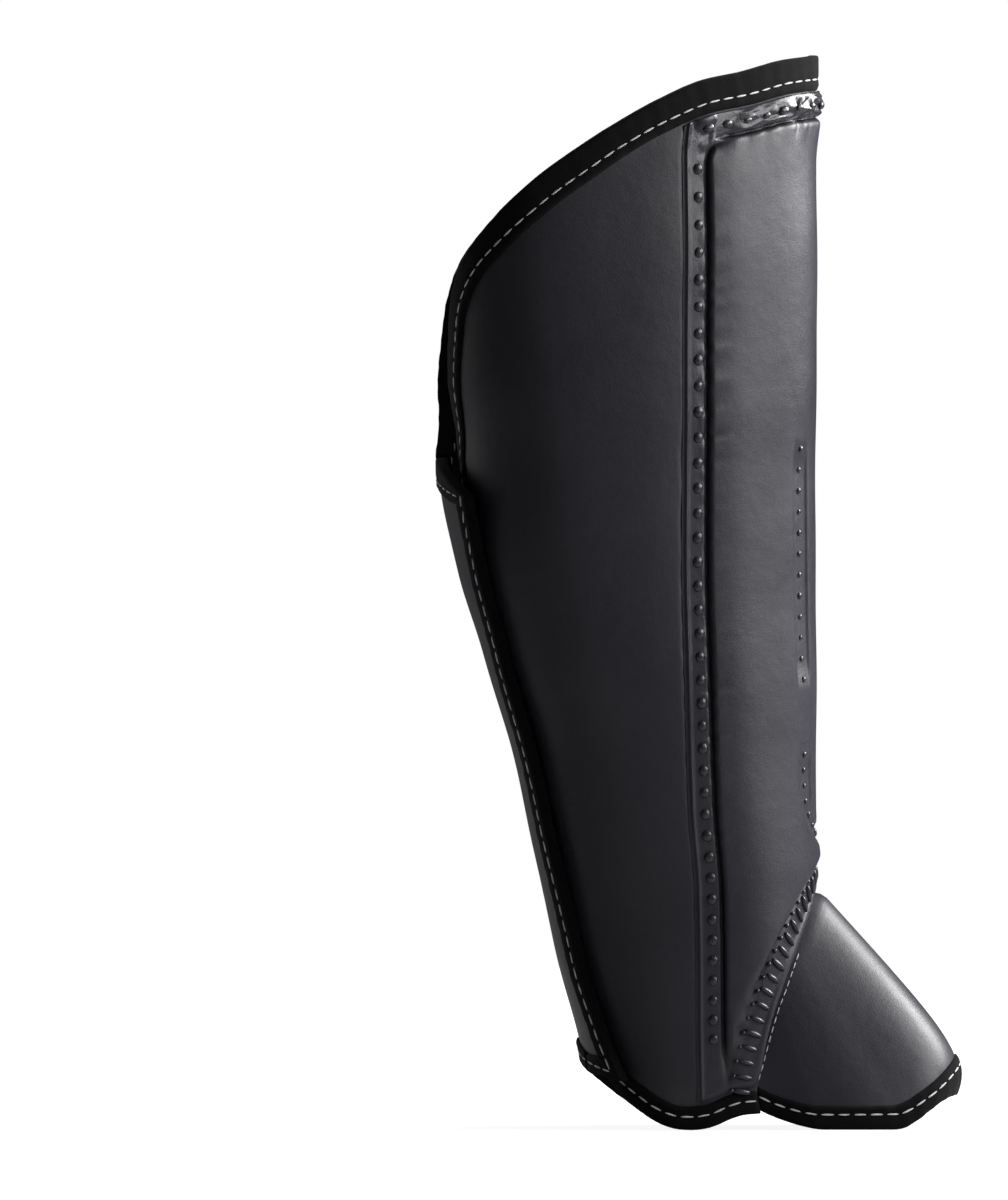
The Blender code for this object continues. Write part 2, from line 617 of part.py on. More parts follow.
def bind_wrap(material):
    """Tapes along the upper edge, the tab and both halves of the hem."""
    s, z = wrap_grid()
    column_count = len(s)
    centre = column_count - TAB_COLUMNS - 1
    covered = z[0, -1:] - COVERED_BINDING
    edge_s = half_girth(covered) - NEAR_EDGE_SETBACK
    low_z = z[-1, 0] + HEM_TAPE_REACH * TAB_FOOT_MITRE
    tab_z = np.concatenate([z[-1, :0:-1], [low_z]])
    tab_z = tab_z[tab_z >= low_z]
    tab_s = wrap_girth(-1, 2.0, tab_z)
    path_s = np.concatenate([edge_s, s[:-1, -1], tab_s])
    path_z = np.concatenate([covered, z[:-1, -1], tab_z])
    direction = inward_of(path_s, path_z, 1)
    join = centre + 1
    reach = np.full(len(path_s), TAB_TAPE_REACH)
    reach[:join + 1] = TAPE_REACH
    reach[join:join + TAB_COLUMNS + 1] = np.linspace(TAPE_REACH, TAB_TAPE_REACH, TAB_COLUMNS + 1)
    pieces = (("top_binding", 0, join + 1), ("tab_binding", join, len(path_s)))
    for name, first, last in pieces:
        piece_s = path_s[first:last].copy()
        piece_z = path_z[first:last].copy()
        if first:
            shift_start(piece_s, piece_z, 2 * GAP)
        wrap_binding(name, piece_s, piece_z, direction[first:last], material, reach[first:last])
    crown = WING_COLUMNS + ARCH_COLUMNS
    near = slice(0, WING_COLUMNS + 1)
    far = slice(crown + ARCH_COLUMNS, column_count)
    for name, part in (("hem_binding_near", near), ("hem_binding_far", far)):
        hem_s, hem_z = s[part, 0], z[part, 0]
        wrap_binding(name, hem_s, hem_z, inward_of(hem_s, hem_z, -1), material, HEM_TAPE_REACH)


def make_closure(material):
    """Fastening tape between the tab and the near side."""
    z = np.linspace(CLOSURE_BOTTOM, CLOSURE_TOP, CLOSURE_ROWS + 1)
    girth = half_girth(z)
    rear = girth - NEAR_EDGE_SETBACK - CLOSURE_INSET
    front = girth - overlap(z) + TAB_TAPE_REACH - TAPE_SHORT_INSIDE + CLOSURE_INSET
    s = np.stack([front, (front + rear) / 2, rear], axis=1)
    height = np.stack([z, z, z], axis=1)
    low = np.full(s.shape, GAP)
    add_wall("closure_tape", lifted(s, height, low + CLOSURE), lifted(s, height, low), material)


def main():
    for thing in list(bpy.data.objects):
        bpy.data.objects.remove(thing, do_unlink=True)
    s, z = wrap_grid()
    zero = np.zeros(s.shape)
    panel = leather("leather_panel", (0.018, 0.018, 0.020), 0.42)
    add_wall("body_panel", on_wrap(s, z, zero), on_wrap(s, z, zero - LEATHER), panel)
    make_facing(leather("leather_facing", (0.024, 0.023, 0.027), 0.36))
    make_flap(leather("leather_flap", (0.026, 0.026, 0.028), 0.45))
    tape = leather("binding_fabric", (0.006, 0.006, 0.006), 0.85)
    bind_wrap(tape)
    bind_flap(tape)
    make_closure(leather("hook_tape", (0.010, 0.010, 0.010), 0.95))


main()
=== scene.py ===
# Shin and instep guard in black leather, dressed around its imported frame
import bpy
import numpy as np
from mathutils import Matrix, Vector


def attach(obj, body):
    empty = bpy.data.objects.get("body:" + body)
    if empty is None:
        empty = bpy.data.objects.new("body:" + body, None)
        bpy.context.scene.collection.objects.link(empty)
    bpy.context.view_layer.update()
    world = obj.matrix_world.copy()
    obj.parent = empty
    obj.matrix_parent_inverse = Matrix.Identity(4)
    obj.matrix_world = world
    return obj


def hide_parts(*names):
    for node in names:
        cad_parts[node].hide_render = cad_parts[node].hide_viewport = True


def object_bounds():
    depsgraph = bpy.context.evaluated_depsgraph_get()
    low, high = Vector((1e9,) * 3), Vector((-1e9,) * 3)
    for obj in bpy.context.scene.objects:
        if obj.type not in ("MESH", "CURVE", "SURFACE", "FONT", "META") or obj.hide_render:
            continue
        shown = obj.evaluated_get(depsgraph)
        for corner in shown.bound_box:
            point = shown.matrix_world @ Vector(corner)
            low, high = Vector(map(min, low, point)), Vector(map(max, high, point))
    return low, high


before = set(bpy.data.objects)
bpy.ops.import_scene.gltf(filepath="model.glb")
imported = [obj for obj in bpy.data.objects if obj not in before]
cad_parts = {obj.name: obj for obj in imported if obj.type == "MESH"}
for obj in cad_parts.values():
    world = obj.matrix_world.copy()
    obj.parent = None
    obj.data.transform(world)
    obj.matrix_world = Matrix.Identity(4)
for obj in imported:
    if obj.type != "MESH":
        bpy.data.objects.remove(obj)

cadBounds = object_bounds()
print("frame loaded, nodes:", len(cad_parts))

# Sizes of the wrap, at its outer face, the same as the frame's
guard = {
    "height": 0.400,
    "calfDepth": 0.1415,
    "calfHalfWidth": 0.069,
    "shinX": 0.04364,         # where the shin line stands
    "padSetback": 0.0040,     # how far the shin line sinks behind the pads
    "leather": 0.0020,
    "gap": 0.0005,
    "rearFullness": 0.55,
    "tabRamp": 0.0360,
    "tabOverlap": 0.0360,
    "nearSetback": 0.0042,
    "nearCovered": 0.0150,
    "tabBulge": 0.0036,       # how far the tab's top corner stands away
    "tabBulgeZ": 0.2410,
    "tabBulgeReach": 0.0330,
}
tapeSizes = {
    "thickness": 0.0008,
    # width seen outside, and how far from the leather's edge the seam runs
    "top": (0.0115, 0.0074),
    "hem": (0.0074, 0.0036),
    "tab": (0.0064, 0.0017),
    "foot": (0.0052, 0.0026),     # under the tab
    "flap": (0.0080, 0.0044),
    "toe": (0.0140, 0.0108),      # at the middle of the flap's toe
    "toeSpan": 0.34,
    "thinFrom": 0.85,         # share of the width where the tape begins to thin
    "edgeThin": 0.55,         # share of its height that it loses at its free edge
    "shortInside": 0.0015,    # how much narrower the tape is inside
    "sole": 0.0005,           # closer to the ground than this, the tape lies flat on it
    "stationStep": 0.0022,
    "keyStep": 0.0125,        # spacing of the stations that set the tape's direction
    "stitchDip": 0.00022,     # how far the seam pulls the tape in
    "dipWidth": 0.0011,
    "nosePower": 0.6,         # under 1 the fold round the edge is squarer
    "ripples": ((0.00010, 900, 0), (0.00006, 2300, 1)),
    "leastWall": 0.0003,
}
guard["tapeNose"] = guard["gap"] + tapeSizes["thickness"]
guard["tabLift"] = 2 * tapeSizes["thickness"] + 3 * guard["gap"] + guard["leather"]

# height as a share of the guard's, front depth and depth as shares of the calf's depth,
# half width as a share of the calf's, nose as a share of the width, flat of the front depth
sectionTable = np.array([
    (0.0000, 0.364, 0.543, 0.558, 0.80, 0.60),
    (0.0825, 0.380, 0.589, 0.565, 0.78, 0.60),
    (0.1650, 0.395, 0.652, 0.585, 0.75, 0.58),
    (0.2575, 0.446, 0.707, 0.630, 0.68, 0.52),
    (0.3525, 0.507, 0.766, 0.680, 0.60, 0.46),
    (0.4450, 0.579, 0.845, 0.735, 0.54, 0.41),
    (0.5375, 0.635, 0.917, 0.785, 0.50, 0.38),
    (0.6075, 0.660, 0.932, 0.830, 0.48, 0.37),
    (0.6450, 0.676, 0.945, 0.853, 0.47, 0.37),
    (0.7025, 0.701, 0.980, 0.885, 0.45, 0.37),
    (0.8500, 0.742, 1.001, 0.955, 0.42, 0.37),
    (1.0000, 0.773, 1.004, 1.000, 0.40, 0.37),
])
# how far the shin line sinks: share of the height, share of the setback
sinkTable = np.array([
    (0.000, 0.30), (0.225, 0.30), (0.300, 1.00), (0.900, 1.00), (0.965, 0.00), (1.000, 0.00),
])
# edges: share of the half girth, share of the height
upperTable = np.array([
    (0.000, 0.9970), (0.115, 0.9913), (0.224, 0.9785), (0.297, 0.9710), (0.390, 0.9517),
    (0.473, 0.9281), (0.543, 0.9049), (0.607, 0.8821), (0.661, 0.8595), (0.714, 0.8365),
    (0.771, 0.8143), (0.823, 0.7906), (0.863, 0.7648), (0.883, 0.7420), (0.903, 0.7170),
    (0.922, 0.6920), (0.945, 0.6670), (0.972, 0.6430), (1.000, 0.6250),
])
hemTable = np.array([
    (0.352, 0.0150), (0.405, 0.0138), (0.450, 0.0100), (0.490, 0.0048), (0.530, 0.0012),
    (0.570, 0.0000), (0.610, 0.0005), (0.640, 0.0026), (0.670, 0.0062), (0.700, 0.0112),
    (0.745, 0.0203), (0.800, 0.0310), (0.870, 0.0450), (1.000, 0.0640),
])
# closing tab: share of the height, share of the overlap
tabTable = np.array([
    (0.000, 1.06), (0.045, 0.93), (0.095, 0.76), (0.150, 0.685), (0.250, 0.69), (0.350, 0.72),
    (0.430, 0.78), (0.500, 0.88), (0.600, 1.00),
])
tabTopTable = np.array([(0.0, 0.6250), (0.5, 0.6090), (1.0, 0.5900)])
tabFootTable = np.array([(0.0, 0.0640), (1.0, 0.0470)])

facing = {
    "thickness": 0.0009,
    "padRise": 0.0028,
    "ridgeRise": 0.0006,
    "weldHalf": 0.0037,
    "weldAtHem": 0.0600,
    "weldAtCrest": 0.0660,
    "slope": 0.0016,
    "padEdge": 0.0024,        # how far the pad's steep edge reaches
    "padShoulder": 0.0170,    # and its soft shoulder
    "edgeShare": 0.55,        # share of the rise in the steep edge
    "groove": 0.0008,         # how deep the welds pull in beside the pad
    "grooveWidth": 0.0007,
    "topCorner": 0.0090,      # rounding of the pad's corners
    "archCorner": 0.0060,
    "ridgeAt": 0.0047,        # of the soft ridge outside the weld
    "ridgeWidth": 0.0007,
    "border": 0.0064,         # where the facing ends, outside the weld
    "borderLift": 0.00114,    # its inner face there
    "borderThin": 0.00008,
    "swell": 0.0011,          # how far the wing's leather rises to meet it
    "swellFade": 0.0320,
    "topWeld": 0.0095,
    "topRise": 0.0009,        # fullness of the welded band at the top
    "inset": 0.0005,
    "footInset": 0.0012,
    "blister": 0.0013,        # round blister where the two welds meet
    "blisterRadius": 0.0046,
    "blisterAt": (0.0020, 0.3750),
    "crumple": 0.0008,        # creases of the welded band at the top
    "crumpleHalf": 0.0520,
    "stripFade": 0.0110,      # length over which a welded strip fades at its end
    "stripDepth": 0.42,       # share of the pad's rise lost in the welded strips
    "stripAt": 0.0173,
    "stripHalf": 0.0032,
    "stripTop": 0.257,
    "stripBottom": 0.163,
    "loopTop": 0.145,
    "loopBottom": 0.106,
    "pucker": 0.00045,        # height of the gathers beside the welds
    "puckerReach": 0.0045,
    "topPucker": 1.3,         # how much stronger they are at the top
    "lowPucker": (0.35, 0.17, 0.12),    # their least share, and from where and over what they grow
    "seat": 0.001,            # over this much a gather or a groove starts
    "edgePower": 2.2,         # roundness of the pad's steep edge
}
# gathers: waves a metre, how far they wander, how slowly, and their share
gatherWaves = ((640, 2.3, 91, 1.0), (1130, 1.7, 57, 0.6))
gatherPatch = {"pace": 47, "least": 0.35}
creases = {"first": (330, 2.1, 210, 60, 0.4), "second": (250, 520, 1.6, 170, 1.3), "depth": 2}
arch = {
    "height": 0.0890,
    "halfWidth": 0.0450,
    "power": 1.75,
    "comb": 0.0105,
    "bead": 0.0005,           # rise of the rolled rim
    "beadWidth": 0.0030,
}
flap = {
    "reach": 0.0521,
    "halfWidth": 0.0365,
    "sideReach": 0.0020,
    "frontZ": 0.0122,
    "riseAt": 0.545,
    "power": 2.6,
    "bulge": 0.0134,
    "shoulder": 0.0040,
    "shoulderEnd": 0.040,
    "bend": 0.94,
    "tuck": 0.0075,
    "footHeight": 0.0220,
    "footRise": 0.0070,
    "bow": 0.72,
    "straight": 0.795,
    "gap": 0.0008,
    "tuckSink": 0.0012,
    "liftShare": 0.8,
    "sideBulge": 0.2,
}


def smooth(x, table, column=1):
    tableX, tableY = table[:, 0], table[:, column]
    step = np.diff(tableX)
    slope = np.diff(tableY) / step
    tangent = np.concatenate([slope[:1], np.zeros(len(slope) - 1), slope[-1:]])
    for i in range(1, len(slope)):
        before, after = slope[i - 1], slope[i]
        if before * after > 0:
            weightBefore = 2 * step[i] + step[i - 1]
            weightAfter = step[i] + 2 * step[i - 1]
            total = weightBefore + weightAfter
            tangent[i] = total / (weightBefore / before + weightAfter / after)
    x = np.clip(x, tableX[0], tableX[-1])
    i = np.clip(np.searchsorted(tableX, x, side="right") - 1, 0, len(step) - 1)
    t = (x - tableX[i]) / step[i]
    start = tableY[i] * (1 + 2 * t) * (1 - t) ** 2 + tangent[i] * step[i] * t * (1 - t) ** 2
    end = tableY[i + 1] * t * t * (3 - 2 * t) + tangent[i + 1] * step[i] * t * t * (t - 1)
    return start + end


def ease(x):
    x = np.clip(x, 0.0, 1.0)
    return x * x * (3 - 2 * x)


def unit(vectors):
    return vectors / np.linalg.norm(vectors, axis=-1, keepdims=True)


# The wrap's outer face is worked out once as a table and read smoothly from it
skinTable = {"lowZ": -0.02, "stepZ": 0.002, "rows": 222, "lowShare": -0.06, "stepShare": 0.01,
             "columns": 148}


def buildSkin():
    heights = skinTable["lowZ"] + skinTable["stepZ"] * np.arange(skinTable["rows"])
    level = (heights / guard["height"])[:, None]
    taus = np.linspace(0, 2, 401)[None, :]
    front = smooth(level, sectionTable, 1) * guard["calfDepth"]
    rear = smooth(level, sectionTable, 2) * guard["calfDepth"] - front
    width = smooth(level, sectionTable, 3) * guard["calfHalfWidth"]
    nose = smooth(level, sectionTable, 4) * width
    flat = smooth(level, sectionTable, 5) * front
    t = np.clip(taus, 0, 1)
    u = np.clip(taus - 1, 0, 1)
    keep = guard["rearFullness"]
    side = 3 * (1 - t) ** 2 * t * nose + 3 * (1 - t) * t ** 2 * width + t ** 3 * width
    back = 3 * (1 - t) * t ** 2 * (front - flat) + t ** 3 * front
    rearSide = (1 - u) ** 3 + 3 * (1 - u) ** 2 * u + 3 * (1 - u) * u ** 2 * keep
    rearBack = 3 * (1 - u) ** 2 * u * keep + 3 * (1 - u) * u ** 2 + u ** 3
    side = np.where(taus > 1, rearSide * width, side)
    back = np.where(taus > 1, front + rearBack * rear, back)
    back = back + guard["padSetback"] * smooth(level, sinkTable) * (1 - t) ** 2
    steps = np.hypot(np.diff(side), np.diff(back))
    girth = np.concatenate([np.zeros((len(heights), 1)), np.cumsum(steps, axis=1)], axis=1)
    shares = skinTable["lowShare"] + skinTable["stepShare"] * np.arange(skinTable["columns"])
    folded = np.abs(shares)
    folded = np.where(folded > 1, 2 - folded, folded)
    sign = np.where((shares < 0) | (shares > 1), -1.0, 1.0)
    xRows = []
    sideRows = []
    for rowX, rowSide, rowGirth in zip(guard["shinX"] - back, side, girth):
        at = folded * rowGirth[-1]
        xRows.append(np.interp(at, rowGirth, rowX))
        sideRows.append(np.interp(at, rowGirth, rowSide) * sign)
    skinTable["x"] = np.array(xRows)
    skinTable["side"] = np.array(sideRows)
    skinTable["heights"] = heights
    skinTable["girth"] = girth[:, -1]


def cubicWeights(f):
    return (-0.5 * f + f ** 2 - 0.5 * f ** 3, 1 - 2.5 * f ** 2 + 1.5 * f ** 3,
            0.5 * f + 2 * f ** 2 - 1.5 * f ** 3, -0.5 * f ** 2 + 0.5 * f ** 3)


def halfGirth(z):
    return np.interp(z, skinTable["heights"], skinTable["girth"])


def skin(s, z):
    # girth distance from the shin line, positive on the near side, and height
    s, z = np.broadcast_arrays(s, z)
    share = np.abs(s) / halfGirth(z)
    row = (z - skinTable["lowZ"]) / skinTable["stepZ"]
    column = (share - skinTable["lowShare"]) / skinTable["stepShare"]
    i = np.clip(np.floor(row).astype(int), 1, skinTable["rows"] - 3)
    j = np.clip(np.floor(column).astype(int), 1, skinTable["columns"] - 3)
    rowWeights = cubicWeights(row - i)
    columnWeights = cubicWeights(column - j)
    x = np.zeros(s.shape)
    side = np.zeros(s.shape)
    for a in range(4):
        for b in range(4):
            weight = rowWeights[a] * columnWeights[b]
            x += weight * skinTable["x"][i + a - 1, j + b - 1]
            side += weight * skinTable["side"][i + a - 1, j + b - 1]
    return np.stack([x, -np.where(s < 0, -1.0, 1.0) * side, z], axis=-1)


folds = {
    "height": 0.00045,        # slow unevenness of the leather
    # pairs of crossing waves: how fast each runs upward and round, its start, the pair's share
    "waves": (((31, 9, 0.7), (-14, 23, 1.9), 1.0), ((67, -41, 2.2), (52, 38, 0.0), 0.5)),
}


def leatherFolds(s, z):
    # the same for every layer
    total = 0.0
    for first, second, share in folds["waves"]:
        one, other = (np.sin(up * z + along * s + start) for up, along, start in (first, second))
        total = total + share * one * other
    return folds["height"] * total


def lifted(s, z, lift):
    reach = 0.0012
    across = skin(s + reach, z) - skin(s - reach, z)
    up = skin(s, z + reach) - skin(s, z - reach)
    normal = unit(np.cross(up, across))
    return skin(s, z) + normal * (np.asarray(lift) + leatherFolds(s, z))[..., None]


def wrapLift(s, z):
    bulge = guard["tabBulge"] * ease(1 - np.abs(z - guard["tabBulgeZ"]) / guard["tabBulgeReach"])
    climb = ease(1 - (halfGirth(z) - np.maximum(-s, 0)) / guard["tabRamp"])
    return (guard["tabLift"] + bulge) * climb


def onWrap(s, z, lift):
    return lifted(s, z, wrapLift(s, z) + lift)


def upperEdge(share):
    return guard["height"] * smooth(share, upperTable)


def hemEdge(share):
    return guard["tapeNose"] + guard["height"] * smooth(share, hemTable)


def tabOverlap(z):
    return guard["tabOverlap"] * smooth(z / guard["height"], tabTable)


def archRim(turn, margin=0.0):
    angle = turn * np.pi / 2
    s = (arch["halfWidth"] + margin) * np.sin(angle) ** (2 / arch["power"])
    z = (arch["height"] + margin) * np.cos(angle) ** (2 / arch["power"])
    return s, z


def archFoot():
    turns = np.linspace(0, 1, 800)
    return turns[np.argmax(archRim(turns)[1] < hemEdge(hemTable[0, 0]))]


def archDistance(s, z):
    turns = np.linspace(0, 1, 120)
    rimS, rimZ = archRim(turns)
    nearest = np.full(np.shape(s), 1.0)
    for a, b in zip(rimS, rimZ):
        nearest = np.minimum(nearest, np.hypot(np.abs(s) - a, z - b))
    return nearest


def wrapGirth(side, share, z):
    if side > 0:
        return share * (halfGirth(z) - guard["nearSetback"])
    within = np.minimum(share, 1.0)
    return -(within * halfGirth(z) + (share - within) * tabOverlap(z))


def tabEnds(share):
    low = guard["height"] * smooth(share, tabFootTable) + guard["tapeNose"]
    return low, guard["height"] * smooth(share, tabTopTable)


# Meshes

def makeObject(name, vertices, faces, material, uv=None):
    mesh = bpy.data.meshes.new(name)
    mesh.from_pydata(vertices.tolist(), [], faces)
    if uv is not None:
        layer = mesh.uv_layers.new(name="surface")
        loops = np.empty(len(mesh.loops), dtype=np.int32)
        mesh.loops.foreach_get("vertex_index", loops)
        layer.data.foreach_set("uv", uv[loops].astype(np.float32).ravel())
    mesh.shade_smooth()
    mesh.materials.append(material)
    thing = bpy.data.objects.new(name, mesh)
    bpy.context.scene.collection.objects.link(thing)
    return thing


def writeAttribute(thing, title, values):
    layer = thing.data.attributes.new(title, "FLOAT", "POINT")
    layer.data.foreach_set("value", values.astype(np.float32))


def signedVolume(vertices, faces):
    quads = np.array(faces)
    a, b, c, d = (vertices[quads[:, k]] for k in range(4))
    first = np.einsum("ij,ij->i", a, np.cross(b, c)).sum()
    return first + np.einsum("ij,ij->i", a, np.cross(c, d)).sum()


def makeWall(name, outer, inner, material, uv=None, suedeInside=False):
    # closed wall between an outer and an inner grid of points
    columns, rows = outer.shape[:2]
    count = columns * rows
    vertices = np.concatenate([outer.reshape(-1, 3), inner.reshape(-1, 3)])
    faces = []
    for i in range(columns - 1):
        for j in range(rows - 1):
            a = i * rows + j
            b = a + rows
            faces.append((a, b, b + 1, a + 1))
            faces.append((count + a, count + a + 1, count + b + 1, count + b))
    rim = [i * rows for i in range(columns)]
    rim += [(columns - 1) * rows + j for j in range(1, rows)]
    rim += [i * rows + rows - 1 for i in range(columns - 2, -1, -1)]
    rim += list(range(rows - 2, 0, -1))
    for a, b in zip(rim, rim[1:] + rim[:1]):
        faces.append((a, count + a, count + b, b))
    if signedVolume(vertices, faces) < 0:
        faces = [face[::-1] for face in faces]
    if uv is not None:
        uv = np.concatenate([uv.reshape(-1, 2)] * 2)
    thing = makeObject(name, vertices, faces, material, uv)
    if suedeInside:
        writeAttribute(thing, "inside", np.repeat((0.0, 1.0), count))
    return thing


def keep(piece, nodeNames, slotName):
    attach(piece, "root")
    if nodeNames:
        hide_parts(*nodeNames)
    return piece


# Nodes

def fillInputs(tree, node, values):
    # an input takes a plain value, or another node's output as a link
    for key, value in values.items():
        if isinstance(value, bpy.types.NodeSocket):
            tree.links.new(value, node.inputs[key])
        elif value is not None:
            node.inputs[key].default_value = value


def addNode(tree, kind, values, **settings):
    node = tree.nodes.new(kind)
    for title, value in settings.items():
        setattr(node, title, value)
    fillInputs(tree, node, values)
    return node


def addMath(tree, operation, *values):
    return addNode(tree, "ShaderNodeMath", dict(enumerate(values)), operation=operation).outputs[0]


def addNoise(tree, vector, scale, detail=3.0, roughness=0.55):
    values = {"Vector": vector, "Scale": scale, "Detail": detail, "Roughness": roughness}
    return addNode(tree, "ShaderNodeTexNoise", values).outputs["Fac"]


def mixColors(tree, factor, low, high):
    # a mix node holds its two colours at inputs 6 and 7 and gives them at output 2
    low, high = ((*value, 1.0) if isinstance(value, tuple) else value for value in (low, high))
    return addNode(tree, "ShaderNodeMix", {0: factor, 6: low, 7: high}, data_type="RGBA").outputs[2]


def mapValue(tree, value, low, high, fromLow=0.0, fromHigh=1.0):
    values = {"Value": value, "From Min": fromLow, "From Max": fromHigh, "To Min": low, "To Max": high}
    return addNode(tree, "ShaderNodeMapRange", values).outputs["Result"]


def readAttribute(tree, title):
    return addNode(tree, "ShaderNodeAttribute", {}, attribute_name=title).outputs["Fac"]


def addBump(tree, height, strength, distance, under=None):
    values = {"Height": height, "Strength": strength, "Distance": distance, "Normal": under}
    return addNode(tree, "ShaderNodeBump", values).outputs[0]


# Shader groups: each takes a place and one setting

def newGroup(name, setting, value, outputs):
    tree = bpy.data.node_groups.new(name, "ShaderNodeTree")
    tree.interface.new_socket("Vector", in_out="INPUT", socket_type="NodeSocketVector")
    socket = tree.interface.new_socket(setting, in_out="INPUT", socket_type="NodeSocketFloat")
    socket.default_value = value
    for title in outputs:
        tree.interface.new_socket(title, in_out="OUTPUT", socket_type="NodeSocketFloat")
    source = tree.nodes.new("NodeGroupInput")
    return tree, source.outputs[0], source.outputs[1], tree.nodes.new("NodeGroupOutput")


grainLook = {
    "warpScale": 260.0,
    "warpReach": 0.0012,      # how far the cells are bent
    "valley": (0.18, 0.12),   # width and softness
    "fineScale": 2600.0,
    "fineShare": 0.06,
    "contrast": 5.0,
}


def makeGrainGroup():
    # pebbled leather: cells with soft valleys, broken up by noise
    tree, place, cells, sink = newGroup("leatherGrain", "Cells", 900.0, ("Height", "Shade"))
    warp = addNode(tree, "ShaderNodeTexNoise", {"Vector": place, "Scale": grainLook["warpScale"]})
    bent = {0: warp.outputs["Color"], 1: (grainLook["warpReach"],) * 3, 2: place}
    bent = addNode(tree, "ShaderNodeVectorMath", bent, operation="MULTIPLY_ADD")
    net = addNode(tree, "ShaderNodeTexVoronoi", {"Vector": bent.outputs[0], "Scale": cells},
                  feature="DISTANCE_TO_EDGE")
    pebble = addMath(tree, "SMOOTH_MIN", net.outputs["Distance"], *grainLook["valley"])
    fine = addNoise(tree, place, grainLook["fineScale"], 2.0)
    fillInputs(tree, sink, {"Height": addMath(tree, "MULTIPLY_ADD", fine, grainLook["fineShare"], pebble),
                            "Shade": addMath(tree, "MULTIPLY", pebble, grainLook["contrast"])})
    return tree


wearLook = {"stretch": 0.12, "streakScale": 95.0, "rubFrom": 0.62, "rubTo": 0.80}


def makeWearGroup():
    # handling marks: slow cloudy sheen with a few faint rubs
    tree, place, scale, sink = newGroup("handlingMarks", "Scale", 14.0, ("Cloud", "Rub"))
    upright = addNode(tree, "ShaderNodeMapping", {"Vector": place, "Scale": (1.0, 1.0, wearLook["stretch"])})
    streak = addNoise(tree, upright.outputs[0], wearLook["streakScale"], 5.0, 0.7)
    fillInputs(tree, sink, {"Cloud": addNoise(tree, place, scale, 4.0, 0.6),
                            "Rub": mapValue(tree, streak, 0.0, 1.0, wearLook["rubFrom"], wearLook["rubTo"])})
    return tree


weaveLook = {"weftShare": 0.8, "fuzzScale": 900.0, "fuzzShare": 0.5}


def makeWeaveGroup():
    # close diagonal weave across a tape
    tree, place, threads, sink = newGroup("tapeWeave", "Threads", 1800.0, ("Height", "Shade"))
    parts = addNode(tree, "ShaderNodeSeparateXYZ", {0: place}).outputs
    along, across = (addMath(tree, "MULTIPLY", parts[axis], threads) for axis in ("X", "Y"))
    warp, weft = (addMath(tree, "ABSOLUTE", addMath(tree, "SINE", addMath(tree, kind, along, across)))
                  for kind in ("ADD", "SUBTRACT"))
    height = addMath(tree, "MAXIMUM", warp, addMath(tree, "MULTIPLY", weft, weaveLook["weftShare"]))
    fuzz = addNoise(tree, place, weaveLook["fuzzScale"])
    height = addMath(tree, "MULTIPLY_ADD", fuzz, weaveLook["fuzzShare"], height)
    fillInputs(tree, sink, {"Height": height, "Shade": height})
    return tree


def placeGroup(tree, group, vector, setting):
    return addNode(tree, "ShaderNodeGroup", {0: vector, 1: setting}, node_tree=group).outputs


# Materials

def newMaterial(name):
    material = bpy.data.materials.new(name)
    material.use_nodes = True
    tree = material.node_tree
    return material, tree, tree.nodes["Principled BSDF"], addNode(tree, "ShaderNodeTexCoord", {}).outputs


leatherLooks = {
    "wrap": {"dark": (0.0132, 0.0122, 0.0176), "light": (0.0270, 0.0250, 0.0360),
             "rough": (0.40, 0.52), "coat": 0.10, "cells": 1000.0},
    "facing": {"dark": (0.0170, 0.0156, 0.0224), "light": (0.0340, 0.0312, 0.0446),
               "rough": (0.36, 0.48), "coat": 0.12, "cells": 1000.0, "weldGloss": -0.17,
               # colour of the painted shade in the crease round the pad
               "creaseShadeColor": (0.0025, 0.0024, 0.0028)},
    "flap": {"dark": (0.0165, 0.0152, 0.0218), "light": (0.0325, 0.0300, 0.0425),
             "rough": (0.38, 0.50), "coat": 0.10, "cells": 950.0},
    "weld": {"dark": (0.0150, 0.0140, 0.0180), "light": (0.0310, 0.0290, 0.0370),
             "rough": (0.20, 0.32), "coat": 0.35, "cells": 1500.0},
    "every": {"markScale": 16.0, "cloudShare": 0.8, "grainShare": 0.25, "rubShare": 0.18,
              "rubbed": (0.075, 0.075, 0.08), "cloudRange": (0.3, 0.7), "coatRough": 0.28,
              "slowScale": 55.0, "slowBump": (0.35, 0.0012), "grainBump": (0.5, 0.00022)},
    "suede": {"napScale": 1400.0, "dark": (0.010, 0.010, 0.010), "light": (0.040, 0.039, 0.038),
              "rough": 0.92},
}


